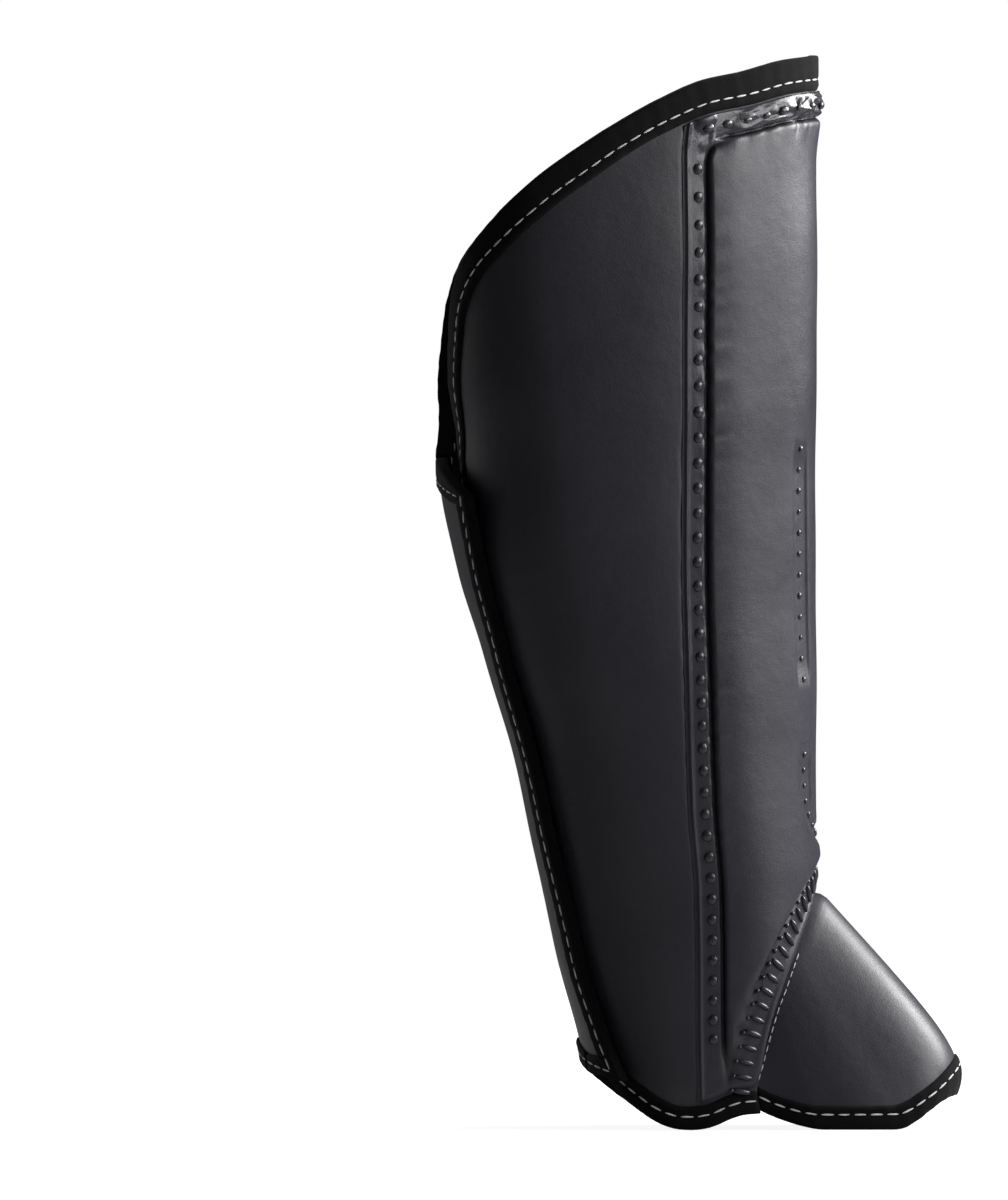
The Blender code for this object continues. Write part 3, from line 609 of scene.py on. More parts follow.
def makeLeather(name, look, groups, suedeInside=False, welded=False):
    material, tree, shader, coordinates = newMaterial(name)
    place = coordinates["Object"]
    every, suede = leatherLooks["every"], leatherLooks["suede"]
    grain = placeGroup(tree, groups["grain"], place, look["cells"])
    marks = placeGroup(tree, groups["wear"], place, every["markScale"])
    shade = addMath(tree, "MULTIPLY", grain["Shade"], every["grainShare"])
    shade = addMath(tree, "MULTIPLY_ADD", marks["Cloud"], every["cloudShare"], shade)
    color = mixColors(tree, shade, look["dark"], look["light"])
    rubbed = addMath(tree, "MULTIPLY", marks["Rub"], every["rubShare"])
    color = mixColors(tree, rubbed, color, every["rubbed"])
    rough = mapValue(tree, marks["Cloud"], *look["rough"], *every["cloudRange"])
    if suedeInside:
        inside = readAttribute(tree, "inside")
        nap = addNoise(tree, place, suede["napScale"], 5.0, 0.75)
        color = mixColors(tree, inside, color, mixColors(tree, nap, suede["dark"], suede["light"]))
        rough = addMath(tree, "MAXIMUM", rough, addMath(tree, "MULTIPLY", inside, suede["rough"]))
    if welded:
        rough = addMath(tree, "MULTIPLY_ADD", readAttribute(tree, "pressed"), look["weldGloss"], rough)
        # painted shade: the crease round the pad is darkened in colour
        color = mixColors(tree, readAttribute(tree, "creaseShade"), color, look["creaseShadeColor"])
    slow = addBump(tree, addNoise(tree, place, every["slowScale"]), *every["slowBump"])
    fillInputs(tree, shader, {"Base Color": color, "Roughness": rough, "Coat Weight": look["coat"],
                              "Coat Roughness": every["coatRough"],
                              "Normal": addBump(tree, grain["Height"], *every["grainBump"], slow)})
    return material


# the colours run with the height; bump is strength and distance
tapeLook = {"threads": 2600.0, "fuzzScale": 420.0, "fuzzShare": 0.5, "weaveShare": 0.4,
            "dark": (0.0012, 0.0012, 0.0013), "light": (0.0052, 0.0052, 0.0055),
            "rough": (0.78, 0.98), "sheen": 0.03, "specular": 0.14, "bump": (0.45, 0.00018)}
threadLook = {"twistScale": 900.0, "grimeScale": 120.0, "dark": (0.60, 0.60, 0.61),
              "light": (0.94, 0.94, 0.94), "rough": (0.55, 0.80), "bump": (0.5, 0.00012)}
hookLook = {"scale": 1100.0, "dark": (0.003, 0.003, 0.003), "light": (0.022, 0.022, 0.023),
            "rough": (0.85, 1.0), "bump": (0.9, 0.0008)}


def finishLook(tree, shader, look, shade, worn, height):
    fillInputs(tree, shader, {"Base Color": mixColors(tree, shade, look["dark"], look["light"]),
                              "Roughness": mapValue(tree, worn, *look["rough"]),
                              "Normal": addBump(tree, height, *look["bump"])})


def makeTapeMaterial(groups):
    material, tree, shader, coordinates = newMaterial("wovenBinding")
    weave = placeGroup(tree, groups["weave"], coordinates["UV"], tapeLook["threads"])
    fuzz = addNoise(tree, coordinates["Object"], tapeLook["fuzzScale"], 4.0)
    shade = addMath(tree, "MULTIPLY", weave["Shade"], tapeLook["weaveShare"])
    shade = addMath(tree, "MULTIPLY_ADD", fuzz, tapeLook["fuzzShare"], shade)
    finishLook(tree, shader, tapeLook, shade, fuzz, weave["Height"])
    fillInputs(tree, shader, {"Sheen Weight": tapeLook["sheen"],
                              "Specular IOR Level": tapeLook["specular"]})
    return material


def makeThreadMaterial():
    material, tree, shader, coordinates = newMaterial("whiteThread")
    twist = {"Vector": coordinates["Object"], "Scale": threadLook["twistScale"]}
    twist = addNode(tree, "ShaderNodeTexWave", twist, bands_direction="DIAGONAL")
    grime = addNoise(tree, coordinates["Object"], threadLook["grimeScale"], 4.0)
    finishLook(tree, shader, threadLook, grime, grime, twist.outputs["Fac"])
    return material


def makeHookMaterial():
    material, tree, shader, coordinates = newMaterial("hookAndLoop")
    loops = addNoise(tree, coordinates["Object"], hookLook["scale"], 6.0, 0.8)
    finishLook(tree, shader, hookLook, loops, loops, loops)
    return material


def buildMaterials():
    groups = {"grain": makeGrainGroup(), "wear": makeWearGroup(), "weave": makeWeaveGroup()}
    return {
        "wrap": makeLeather("wrapLeather", leatherLooks["wrap"], groups, suedeInside=True),
        "facing": makeLeather("facingLeather", leatherLooks["facing"], groups, welded=True),
        "flap": makeLeather("flapLeather", leatherLooks["flap"], groups, suedeInside=True),
        "weld": makeLeather("weldedLeather", leatherLooks["weld"], groups),
        "tape": makeTapeMaterial(groups),
        "thread": makeThreadMaterial(),
        "hook": makeHookMaterial(),
    }


# The wrap

wrapMesh = {"archColumns": 34, "wingColumns": 66, "tabColumns": 14, "rows": 120}


def wrapColumns():
    turns = np.linspace(0, archFoot(), wrapMesh["archColumns"] + 1)
    rimS, rimZ = archRim(turns)
    halves = []
    for side in (1, -1):
        reach = halfGirth(rimZ) - (guard["nearSetback"] if side > 0 else 0.0)
        wing = np.linspace(rimS[-1] / reach[-1], 1, wrapMesh["wingColumns"] + 1)[1:]
        rows = [(side, share, low, upperEdge(share)) for share, low in zip(rimS / reach, rimZ)]
        rows += [(side, share, hemEdge(share), upperEdge(share)) for share in wing]
        if side < 0:
            for share in np.linspace(0, 1, wrapMesh["tabColumns"] + 1)[1:]:
                rows.append((side, 1 + share, *tabEnds(share)))
        halves.append(rows)
    return halves[0][::-1] + halves[1][1:]


def wingSwell(s, z):
    # the leather beside the facing lies flush with it
    away = np.abs(s) - weldLine(z)
    rise = ease((away - facing["ridgeAt"] - 0.0003) / 0.0014)
    rise = rise * ease(1 - (away - facing["border"]) / facing["swellFade"])
    share = wrapShare(s, z)
    toTop = upperEdge(np.minimum(share, 1)) - z - tapeSizes["top"][0]
    toHem = z - hemEdge(np.clip(share, hemTable[0, 0], 1)) - tapeSizes["hem"][0]
    return facing["swell"] * rise * ease(toTop / 0.005) * ease(toHem / 0.005)


def makeWrap(material):
    fractions = np.linspace(0, 1, wrapMesh["rows"] + 1)
    z = np.array([low + (high - low) * fractions for _, _, low, high in wrapColumns()])
    s = np.array([wrapGirth(side, share, row) for (side, share, _, _), row in zip(wrapColumns(), z)])
    zero = np.zeros(s.shape)
    outer = onWrap(s, z, wingSwell(s, z))
    inner = onWrap(s, z, zero - guard["leather"])
    return makeWall("wrapPanel", outer, inner, material, suedeInside=True)


# The facing over the shin pads

def weldLine(z):
    return facing["weldAtHem"] + (facing["weldAtCrest"] - facing["weldAtHem"]) * z / guard["height"]


def wrapShare(s, z):
    return np.abs(s) / (halfGirth(z) - np.where(s > 0, guard["nearSetback"], 0.0))


def besideEdge(s, edge, start, side, away):
    z = np.full(np.shape(s), start)
    step = 0.01
    for _ in range(3):
        share = wrapShare(s, z)
        z = edge(share)
    slope = (edge(share + step) - edge(share - step)) / (2 * step * halfGirth(z))
    return z + side * away * np.hypot(1, slope)


def facingTop(s):
    return besideEdge(s, upperEdge, guard["height"], -1, tapeSizes["top"][0] + facing["inset"])


def facingFoot(s):
    share = np.minimum(np.abs(s) / arch["halfWidth"], 1)
    rim = arch["height"] * (1 - share ** arch["power"]) ** (1 / arch["power"])
    away = tapeSizes["hem"][0] + facing["footInset"]
    return np.maximum(rim + guard["gap"], besideEdge(s, hemEdge, 0.0, 1, away))


def gathers(along, seed):
    # uneven short waves along a weld
    wave = 0.0
    for k, (pitch, wander, pace, share) in enumerate(gatherWaves, start=1):
        start = seed if k == 1 else 0.0
        wave = wave + share * np.sin(along * pitch + wander * np.sin(along * pace + k * seed) + start)
    patch = 0.5 + 0.5 * np.sin(along * gatherPatch["pace"] + 3 * seed)
    return wave * (gatherPatch["least"] + (1 - gatherPatch["least"]) * patch)


def roundedMin(first, second, radius):
    # the smaller of two edge distances, with the corner between them rounded
    return radius - np.hypot(np.maximum(radius - first, 0), np.maximum(radius - second, 0))


def crumple(s, z):
    # sharp irregular creases
    pitch, wander, up, along, start = creases["first"]
    first = np.abs(np.sin(pitch * s + wander * np.sin(up * z + along * s) + start))
    pitch, up, wander, along, start = creases["second"]
    second = np.abs(np.sin(pitch * s - up * z + wander * np.sin(along * s) + start))
    return 1 - np.minimum(first, second) * creases["depth"]


def padDistances(s, z):
    # from the weld line, inward from the weld, the top weld and the cut-out, and from the pad's edge
    fromLine = np.abs(s) - weldLine(z)
    toWeld = -facing["weldHalf"] - fromLine
    toTop = facingTop(s) - facing["topWeld"] - z
    outOfArch = archDistance(s, z)
    inside = roundedMin(toWeld, toTop, facing["topCorner"])
    inside = roundedMin(inside, outOfArch - arch["comb"], facing["archCorner"])
    return fromLine, toWeld, toTop, outOfArch, inside


def stripShare(away, z):
    # 1 in the two welded strips and in the loop below them
    half, at, fade = facing["stripHalf"], facing["stripAt"], facing["stripFade"]
    bendZ = facing["loopBottom"] + at + half
    toEnd = np.minimum(facing["stripTop"] - z, z - facing["stripBottom"])
    offRound = np.abs(np.hypot(away, np.minimum(z - bendZ, 0)) - at)
    inStrip = (1 - ease((np.abs(away - at) - half) / facing["slope"])) * ease(toEnd / fade)
    inLoop = (1 - ease((offRound - half) / facing["slope"])) * ease((facing["loopTop"] - z) / fade)
    return np.maximum(inStrip, inLoop)


def facingRise(s, z):
    away = np.abs(s)
    seat = facing["seat"]
    fromLine, toWeld, toTop, outOfArch, inside = padDistances(s, z)
    steep = 1 - (1 - np.clip(inside / facing["padEdge"], 0, 1)) ** facing["edgePower"]
    fromEdge = roundedMin(toWeld, toTop, facing["padShoulder"])
    soft = 1 - (1 - np.clip(fromEdge / facing["padShoulder"], 0, 1)) ** 2
    pad = steep * (facing["edgeShare"] + (1 - facing["edgeShare"]) * soft)
    pad = pad * (1 - facing["stripDepth"] * stripShare(away, z))
    ridge = np.exp(-((fromLine - facing["ridgeAt"]) / facing["ridgeWidth"]) ** 2)
    groove = np.exp(-(inside / facing["grooveWidth"]) ** 2)
    bead = np.sin(np.pi * np.clip(outOfArch / arch["beadWidth"], 0, 1))
    rise = facing["padRise"] * pad + facing["ridgeRise"] * ridge + arch["bead"] * bead
    rise = rise - facing["groove"] * groove * ease((facing["ridgeAt"] - fromLine) / seat)
    nearWeld = np.exp(-(toWeld / facing["puckerReach"]) ** 2) * ease((toWeld + facing["weldHalf"]) / seat)
    least, low, length = facing["lowPucker"]
    nearWeld = nearWeld * (least + (1 - least) * ease((z - low) / length))
    nearTop = np.exp(-((toTop - seat) / facing["puckerReach"]) ** 2) * ease(toWeld / (4 * seat))
    gather = gathers(z + 0.3 * s, 1.0 + np.sign(s)) * nearWeld
    gather += facing["topPucker"] * gathers(s + 0.2 * z, 2.6) * nearTop
    below = (toTop + facing["topWeld"]) / facing["topWeld"]
    band = ease(below * 4) * ease((1.05 - below) * 4) * ease((facing["crumpleHalf"] - away) / (6 * seat))
    rise += band * (facing["topRise"] + facing["crumple"] * crumple(s, z))
    offset, height = facing["blisterAt"]
    fromBlister = np.hypot(fromLine + offset, z - height) / facing["blisterRadius"]
    rise += facing["blister"] * np.sqrt(np.clip(1 - fromBlister ** 2, 0, 1))
    return rise + facing["pucker"] * gather


def pressedShare(s, z):
    # 1 in the welded bands, where the leather is smoother
    fromLine = np.abs(s) - weldLine(z)
    beside = ease(1.5 - np.abs(fromLine) / facing["weldHalf"])
    top = ease((z - facingTop(s) + facing["topWeld"] + 2 * facing["seat"]) / (3 * facing["seat"]))
    return np.maximum(0.6 * beside, top)


def creaseShadeShare(s, z):
    # 1 in the narrow crease round the pad, where painted shade darkens the colour
    inside = padDistances(s, z)[-1]
    return np.exp(-((inside - 0.5 * facing["groove"]) / facing["grooveWidth"]) ** 2)


def spread(stops, steps):
    values = []
    for low, high, count in zip(stops, stops[1:], steps):
        values += list(np.linspace(low, high, count + 1)[:-1])
    return values + [stops[-1]]


def facingHalfColumns():
    # each column is a fixed girth distance and a share of the outer weld's distance
    inside = facing["stripAt"] - facing["stripHalf"]
    outside = facing["stripAt"] + facing["stripHalf"]
    slope = facing["slope"]
    fixed = spread([0, inside - slope, inside, outside, outside + slope], (6, 5, 5, 5))
    columns = [(value, 0.0) for value in fixed]
    columns += [((outside + slope) * (1 - share), share) for share in np.linspace(0, 0.73, 13)[1:]]
    edge = facing["weldHalf"]
    groove = facing["grooveWidth"]
    steps = spread([-edge - facing["padEdge"] - 0.001, -edge - groove, -edge + groove,
                    facing["ridgeAt"] - 0.001, facing["ridgeAt"] + 0.001, facing["border"]],
                   (9, 8, 9, 8, 8))
    return columns + [(value, 1.0) for value in steps]


def makeFacing(material):
    half = facingHalfColumns()
    columns = [(1, *column) for column in half[::-1]] + [(-1, *column) for column in half[1:]]
    slope = facing["slope"]
    lowLine = arch["height"] + arch["comb"]
    levels = spread([lowLine, facing["loopBottom"] - slope, facing["loopBottom"] + 0.006,
                     facing["loopTop"] - 0.002, facing["loopTop"] + slope,
                     facing["stripBottom"] - slope, facing["stripBottom"] + slope,
                     facing["stripTop"] - slope, facing["stripTop"] + slope],
                    (5, 12, 18, 8, 8, 8, 48, 8))
    zRows = []
    sRows = []
    for side, fixed, share in columns:
        low = facingFoot(np.array([side * (fixed + share * weldLine(0.0))]))[0]
        top = facingTop(np.array([side * (fixed + share * weldLine(guard["height"]))]))[0]
        last = top - facing["topWeld"]
        lower = list(low + (lowLine - low) * np.linspace(0, 1, 37)[:-1])
        upper = spread([levels[-1], last - 5 * slope, last - slope, last + slope / 2, top],
                       (44, 9, 12, 15))[1:]
        z = np.array(lower + levels + upper)
        zRows.append(z)
        sRows.append(side * (fixed + share * weldLine(z)))
    s = np.array(sRows)
    z = np.array(zRows)
    toBorder = facing["border"] - np.abs(s) + weldLine(z)
    full = ease(toBorder / (facing["border"] - facing["ridgeAt"]))
    low = facing["borderLift"]
    rise = guard["gap"] + facing["thickness"] + facingRise(s, z)
    thin = low + facing["borderThin"]
    outer = lifted(s, z, thin + full * (rise - thin))
    inner = lifted(s, z, low + full * (guard["gap"] - low))
    panel = makeWall("shinFacing", outer, inner, material)
    # the second attribute marks where painted shade darkens the crease round the pad
    for title, values in (("pressed", pressedShare(s, z)), ("creaseShade", creaseShadeShare(s, z))):
        writeAttribute(panel, title, np.tile(values.ravel(), 2))
    return panel


# The flap over the instep

def flapTurn(turn):
    turns = np.linspace(0, 1, 800)
    foot = turns[np.argmax(archRim(turns)[1] < flap["footHeight"])]
    return np.abs(turn) * foot


def flapRim(turn, margin, lift=0.0):
    s, z = archRim(flapTurn(turn))
    grownS, grownZ = archRim(flapTurn(turn), flap["tuck"])
    s = s + (grownS - s) * margin
    z = z + (grownZ - z) * margin
    lift = lift - guard["leather"] - flap["gap"] - flap["tuckSink"] * margin
    return lifted(np.sign(turn) * s, z, lift + np.zeros_like(s))


def flapHem(turn):
    side = np.where(turn < 0, -1.0, 1.0)
    footS = archRim(flapTurn(np.ones_like(turn)))[0]
    footZ = guard["tapeNose"] + flap["footRise"] + np.zeros_like(turn)
    foot = lifted(side * footS, footZ, -guard["leather"] - flap["gap"] + np.zeros_like(turn))
    away = np.abs(turn)
    angle = (1 - np.clip(away / flap["bow"], 0, 1)) * np.pi / 2
    length = flap["reach"] - flap["sideReach"]
    sideX = guard["shinX"] + flap["sideReach"]
    x = sideX + length * np.sin(angle) ** (2 / flap["power"])
    y = flap["halfWidth"] * np.cos(angle) ** (2 / flap["power"])
    along = np.clip((away - flap["bow"]) / (1 - flap["bow"]), 0, 1)
    sideY = flap["halfWidth"] + (np.abs(foot[..., 1]) - flap["halfWidth"]) * ease(along)
    x = np.where(away > flap["bow"], sideX + (foot[..., 0] - sideX) * along, x)
    y = np.where(away > flap["bow"], sideY, y)
    frontRise = flap["frontZ"] * ease(((x - sideX) / length - flap["riseAt"]) / (1 - flap["riseAt"]))
    z = guard["tapeNose"] + frontRise + flap["footRise"] * along ** 1.5
    return np.stack([x, -side * y, z], axis=-1)


def flapPoint(turn, down):
    rim = flapRim(turn, 0.0)
    edge = flapHem(turn)
    ruling = edge - rim
    outward = ruling * (1.0, 1.0, 0.0)
    outward[..., 2] = flap["liftShare"] * np.abs(ruling[..., 2])
    outward = unit(outward)
    front = np.cos(np.clip(np.abs(turn) / flap["bow"], 0, 1) * np.pi / 2) ** 2
    fullness = flap["bulge"] * (flap["sideBulge"] + (1 - flap["sideBulge"]) * front)
    fullness = fullness * (1 - np.abs(turn) ** 4)
    knee = rim + ruling * flap["bend"] + outward * fullness[..., None]
    first = rim + (knee - rim) * flap["straight"]
    shoulder = flap["shoulder"] * front * ease(down / flap["shoulderEnd"]) * (1 - down) ** 3
    d = down[..., None]
    curve = (1 - d) ** 3 * rim + 3 * (1 - d) ** 2 * d * first
    curve = curve + 3 * (1 - d) * d ** 2 * knee + d ** 3 * edge
    return curve + outward * shoulder[..., None]


def flapFace(turn, down, lift):
    reach = 0.01
    turn, down = np.broadcast_arrays(np.asarray(turn, float), np.asarray(down, float))
    across = flapPoint(np.clip(turn + reach, -1, 1), down)
    across = across - flapPoint(np.clip(turn - reach, -1, 1), down)
    along = flapPoint(turn, down + reach) - flapPoint(turn, down - reach)
    normal = unit(np.cross(across, along))
    lift = np.asarray(lift)
    return flapPoint(turn, down) + normal * (lift[..., None] if lift.ndim else lift)


flapMesh = {"columns": 180, "rows": 70}


def makeFlap(material):
    turns = np.linspace(1, -1, flapMesh["columns"] + 1)
    turn, down = np.meshgrid(turns, np.linspace(0, 1, flapMesh["rows"] + 1), indexing="ij")
    margins = (1.0, 0.75, 0.5, 0.25)
    leather = guard["leather"]
    tuck = np.stack([flapRim(turns, margin) for margin in margins], axis=1)
    tuckBack = np.stack([flapRim(turns, margin, -leather) for margin in margins], axis=1)
    face = np.concatenate([tuck, flapFace(turn, down, 0.0)], axis=1)
    back = np.concatenate([tuckBack, flapFace(turn, down, -leather)], axis=1)
    return makeWall("instepFlap", face, back, material, suedeInside=True)


# Bindings

def inwardOf(s, z, side):
    along = unit(np.stack([np.diff(s), np.diff(z)], axis=-1))
    across = side * np.stack([-along[:, 1], along[:, 0]], axis=-1)
    first = np.concatenate([across[:1], across])
    middle = unit(first + np.concatenate([across, across[-1:]]))
    return middle / np.sum(middle * first, axis=-1, keepdims=True)


def pathLengths(points):
    return np.concatenate([[0], np.cumsum(np.linalg.norm(np.diff(points, axis=0), axis=-1))])


def evenStops(along, corners, step, least):
    # places along a path, evenly spaced, with one on each corner
    stops = []
    marks = [0, *corners, len(along) - 1]
    for low, high in zip(along[marks], along[marks[1:]]):
        count = max(least, int(round((high - low) / step)))
        stops += list(np.linspace(low, high, count + 1)[:-1])
    return np.array(stops + [along[-1]])


def wrapPlace(s, z, corners, side):
    along = pathLengths(np.stack([s, z], axis=1))
    stops = evenStops(along, corners, tapeSizes["stationStep"], 2)
    keys = evenStops(along, corners, tapeSizes["keyStep"], 1)
    direction = inwardOf(np.interp(keys, along, s), np.interp(keys, along, z), side)
    pathS = np.interp(stops, along, s)
    pathZ = np.interp(stops, along, z)
    aimS = np.interp(stops, keys, direction[:, 0])
    aimZ = np.interp(stops, keys, direction[:, 1])

    def place(inward, lift):
        return onWrap(pathS + aimS * inward, pathZ + aimZ * inward, lift + np.zeros(len(stops)))

    return place, stops, along[[0, *corners, -1]]


def makeBinding(name, place, stops, material, reach, stitch):
    # reach and stitch are given at each station
    gap, wall = guard["gap"], guard["leather"]

    def contour(offset):
        points = []
        for share in np.linspace(1, 0, 14):
            thin = max(share - tapeSizes["thinFrom"], 0) / (1 - tapeSizes["thinFrom"])
            points.append((reach * share, offset * (1 - tapeSizes["edgeThin"] * thin)))
        for angle in np.linspace(0, np.pi, 11)[1:-1]:
            out = offset * np.sin(angle) ** tapeSizes["nosePower"]
            height = np.sign(np.cos(angle)) * np.abs(np.cos(angle)) ** tapeSizes["nosePower"]
            points.append((-out + 0 * reach, (wall / 2 + offset) * height - wall / 2))
        insideReach = reach - tapeSizes["shortInside"]
        return points + [(insideReach * share, -wall - offset) for share in np.linspace(0, 1, 9)]

    ripple = sum(height * np.sin(stops * pace + start) for height, pace, start in tapeSizes["ripples"])
    outer = []
    inner = []
    across = []
    covered = 0.0
    last = None
    for (inward, lift), (inwardBelow, liftBelow) in zip(contour(guard["tapeNose"]), contour(gap)):
        side = 1 if lift > -wall / 2 else -1
        groove = tapeSizes["stitchDip"] * np.exp(-((inward - stitch) / tapeSizes["dipWidth"]) ** 2)
        lifts = lift + side * (ripple - groove)
        below = side * np.minimum(side * liftBelow, side * lifts - tapeSizes["leastWall"])
        outer.append(place(inward, lifts))
        inner.append(place(inwardBelow, below))
        if last is not None:
            covered += np.hypot(np.mean(inward - last[0]), lift - last[1])
        last = (inward, lift)
        across.append(covered)
    outer = np.stack(outer, axis=1)
    inner = np.stack(inner, axis=1)
    low = outer[..., 2] < tapeSizes["sole"]
    outer[low, 2] = np.maximum(outer[low, 2], 0.0)
    uv = np.stack(np.meshgrid(stops, across, indexing="ij"), axis=-1)
    return makeWall(name, outer, inner, material, uv)


# Seams and welds: Geometry Nodes set one shaped copy on each point

studInputs = (("Geometry", "Geometry", None), ("Length", "Float", 0.003), ("Width", "Float", 0.003),
              ("Height", "Float", 0.001), ("Unevenness", "Float", 0.1), ("Material", "Material", None))


def makeStudTree():
    # a rounded stud on each vertex, stood on "aim" and turned along "heading"
    tree = bpy.data.node_groups.new("studsOnPoints", "GeometryNodeTree")
    for title, kind, value in studInputs:
        socket = tree.interface.new_socket(title, in_out="INPUT", socket_type="NodeSocket" + kind)
        if value is not None:
            socket.default_value = value
    tree.interface.new_socket("Geometry", in_out="OUTPUT", socket_type="NodeSocketGeometry")
    given = tree.nodes.new("NodeGroupInput").outputs
    ball = addNode(tree, "GeometryNodeMeshUVSphere", {"Segments": 14, "Rings": 9, "Radius": 1.0})
    size = {k: given[title] for k, title in enumerate(("Length", "Width", "Height"))}
    size = addNode(tree, "ShaderNodeCombineXYZ", size).outputs[0]
    shape = addNode(tree, "GeometryNodeTransform", {"Geometry": ball.outputs["Mesh"], "Scale": size})
    turn = None
    for title, axis, pivot in (("aim", "Z", "AUTO"), ("heading", "X", "Z")):
        data = addNode(tree, "GeometryNodeInputNamedAttribute", {"Name": title}, data_type="FLOAT_VECTOR")
        turn = addNode(tree, "FunctionNodeAlignRotationToVector",
                       {"Rotation": turn, "Vector": data.outputs["Attribute"]},
                       axis=axis, pivot_axis=pivot).outputs[0]
    least = addMath(tree, "SUBTRACT", 1.0, given["Unevenness"])
    chance = addNode(tree, "FunctionNodeRandomValue", {2: least, 3: 1.0, "Seed": 7}, data_type="FLOAT")
    made = addNode(tree, "GeometryNodeInstanceOnPoints",
                   {"Points": given["Geometry"], "Instance": shape.outputs[0], "Rotation": turn,
                    "Scale": chance.outputs[1]})
    for kind in ("GeometryNodeRealizeInstances", "GeometryNodeSetShadeSmooth"):
        made = addNode(tree, kind, {0: made.outputs[0]})
    made = addNode(tree, "GeometryNodeSetMaterial",
                   {"Geometry": made.outputs[0], "Material": given["Material"]})
    fillInputs(tree, tree.nodes.new("NodeGroupOutput"), {0: made.outputs[0]})
    return tree


def setStuds(name, tree, studs, sizes, material, unevenness):
    points, aims, headings = studs
    mesh = bpy.data.meshes.new(name + "Points")
    mesh.from_pydata(points.tolist(), [], [])
    for title, values in (("aim", aims), ("heading", headings)):
        layer = mesh.attributes.new(title, "FLOAT_VECTOR", "POINT")
        layer.data.foreach_set("vector", values.astype(np.float32).ravel())
    host = bpy.data.objects.new(name + "Points", mesh)
    bpy.context.scene.collection.objects.link(host)
    modifier = host.modifiers.new("studs", "NODES")
    modifier.node_group = tree
    values = dict(zip(("Length", "Width", "Height"), sizes), Unevenness=unevenness, Material=material)
    for item in tree.interface.items_tree:
        if item.item_type == "SOCKET" and item.in_out == "INPUT" and item.name in values:
            modifier[item.identifier] = values[item.name]
    result = bpy.data.meshes.new_from_object(host.evaluated_get(bpy.context.evaluated_depsgraph_get()))
    host.modifiers.remove(modifier)
    bpy.data.objects.remove(host, do_unlink=True)
    result.name = name
    thing = bpy.data.objects.new(name, result)
    bpy.context.scene.collection.objects.link(thing)
    if not result.materials:
        result.materials.append(material)
    return thing


def readPath(stops, along, line):
    return np.stack([np.interp(stops, along, line[:, k]) for k in range(3)], axis=1)


def alongPath(line, above, spacing, beside=None):
    # even points on a line of the surface, their normals, and headings along it or to beside
    along = pathLengths(line)
    count = int(along[-1] / spacing)
    stops = (np.arange(count) + 0.5) * along[-1] / count
    points = readPath(stops, along, line)
    if beside is None:
        heading = readPath(stops + 0.0005, along, line) - readPath(stops - 0.0005, along, line)
    else:
        heading = readPath(stops, along, beside) - points
    return points, unit(readPath(stops, along, above) - points), unit(heading)


seam = {
    "pitch": 0.0060,
    "size": (0.0025, 0.00036, 0.00030),
    "proud": 0.0001,          # how far a stitch stands off what it is sewn to
    "unevenness": 0.12,
    "tabTurn": 0.45,          # where under the tab its tape takes over from the hem's
}
rimSeam = {"inset": 0.0017, "lean": 1.4, "from": 0.50, "to": 0.995, "pitch": 0.0036,
           "size": (0.0015, 0.00024, 0.00030)}
normalStep = 0.002
welds = {
    # length, width, height, unevenness
    "bandDots": (0.0023, 0.0021, 0.0012, 0.12),
    "stripDots": (0.0013, 0.0013, 0.0009, 0.2),
    "loopDots": (0.0013, 0.0013, 0.0009, 0.2),
    "topDots": (0.0027, 0.0018, 0.0013, 0.3),
    "combBars": (0.0036, 0.0012, 0.0013, 0.15),
    "combDots": (0.0009, 0.0009, 0.0009, 0.15),
    "bandTopPitch": 0.0104,
    "bandLowPitch": 0.0071,
    "bandTop": 0.3563,
    "bandLow": 0.0284,
    "stripCount": 12,
    "stripEnd": 0.004,
    "loopPitch": 0.0058,
    "loopEnd": 0.003,
    "topPitch": 0.0088,
    "topEnd": 0.37,           # height at which the top row meets the side welds
    "combPitch": 0.0054,
    "combBarsAt": 0.0062,     # from the rim
    "combDotsAt": 0.0101,
    "combReach": 0.90,        # share of the quarter turn that the comb covers
}


def onFacing(s, z):
    # points on the facing's outer face and points above them
    lift = guard["gap"] + facing["thickness"] + facingRise(s, z)
    return lifted(s, z, lift), lifted(s, z, lift + normalStep)


def keepWelds(kind, tree, studs, materials, title=""):
    *sizes, unevenness = welds[kind]
    keep(setStuds(kind + title, tree, studs, sizes, materials["weld"], unevenness), [], "leather_facing")


def keepDots(kind, tree, s, z, materials, title=""):
    points, above = onFacing(s, z)
    higher = onFacing(s, z + 0.001)[0]
    keepWelds(kind, tree, (points, unit(above - points), unit(higher - points)), materials, title)


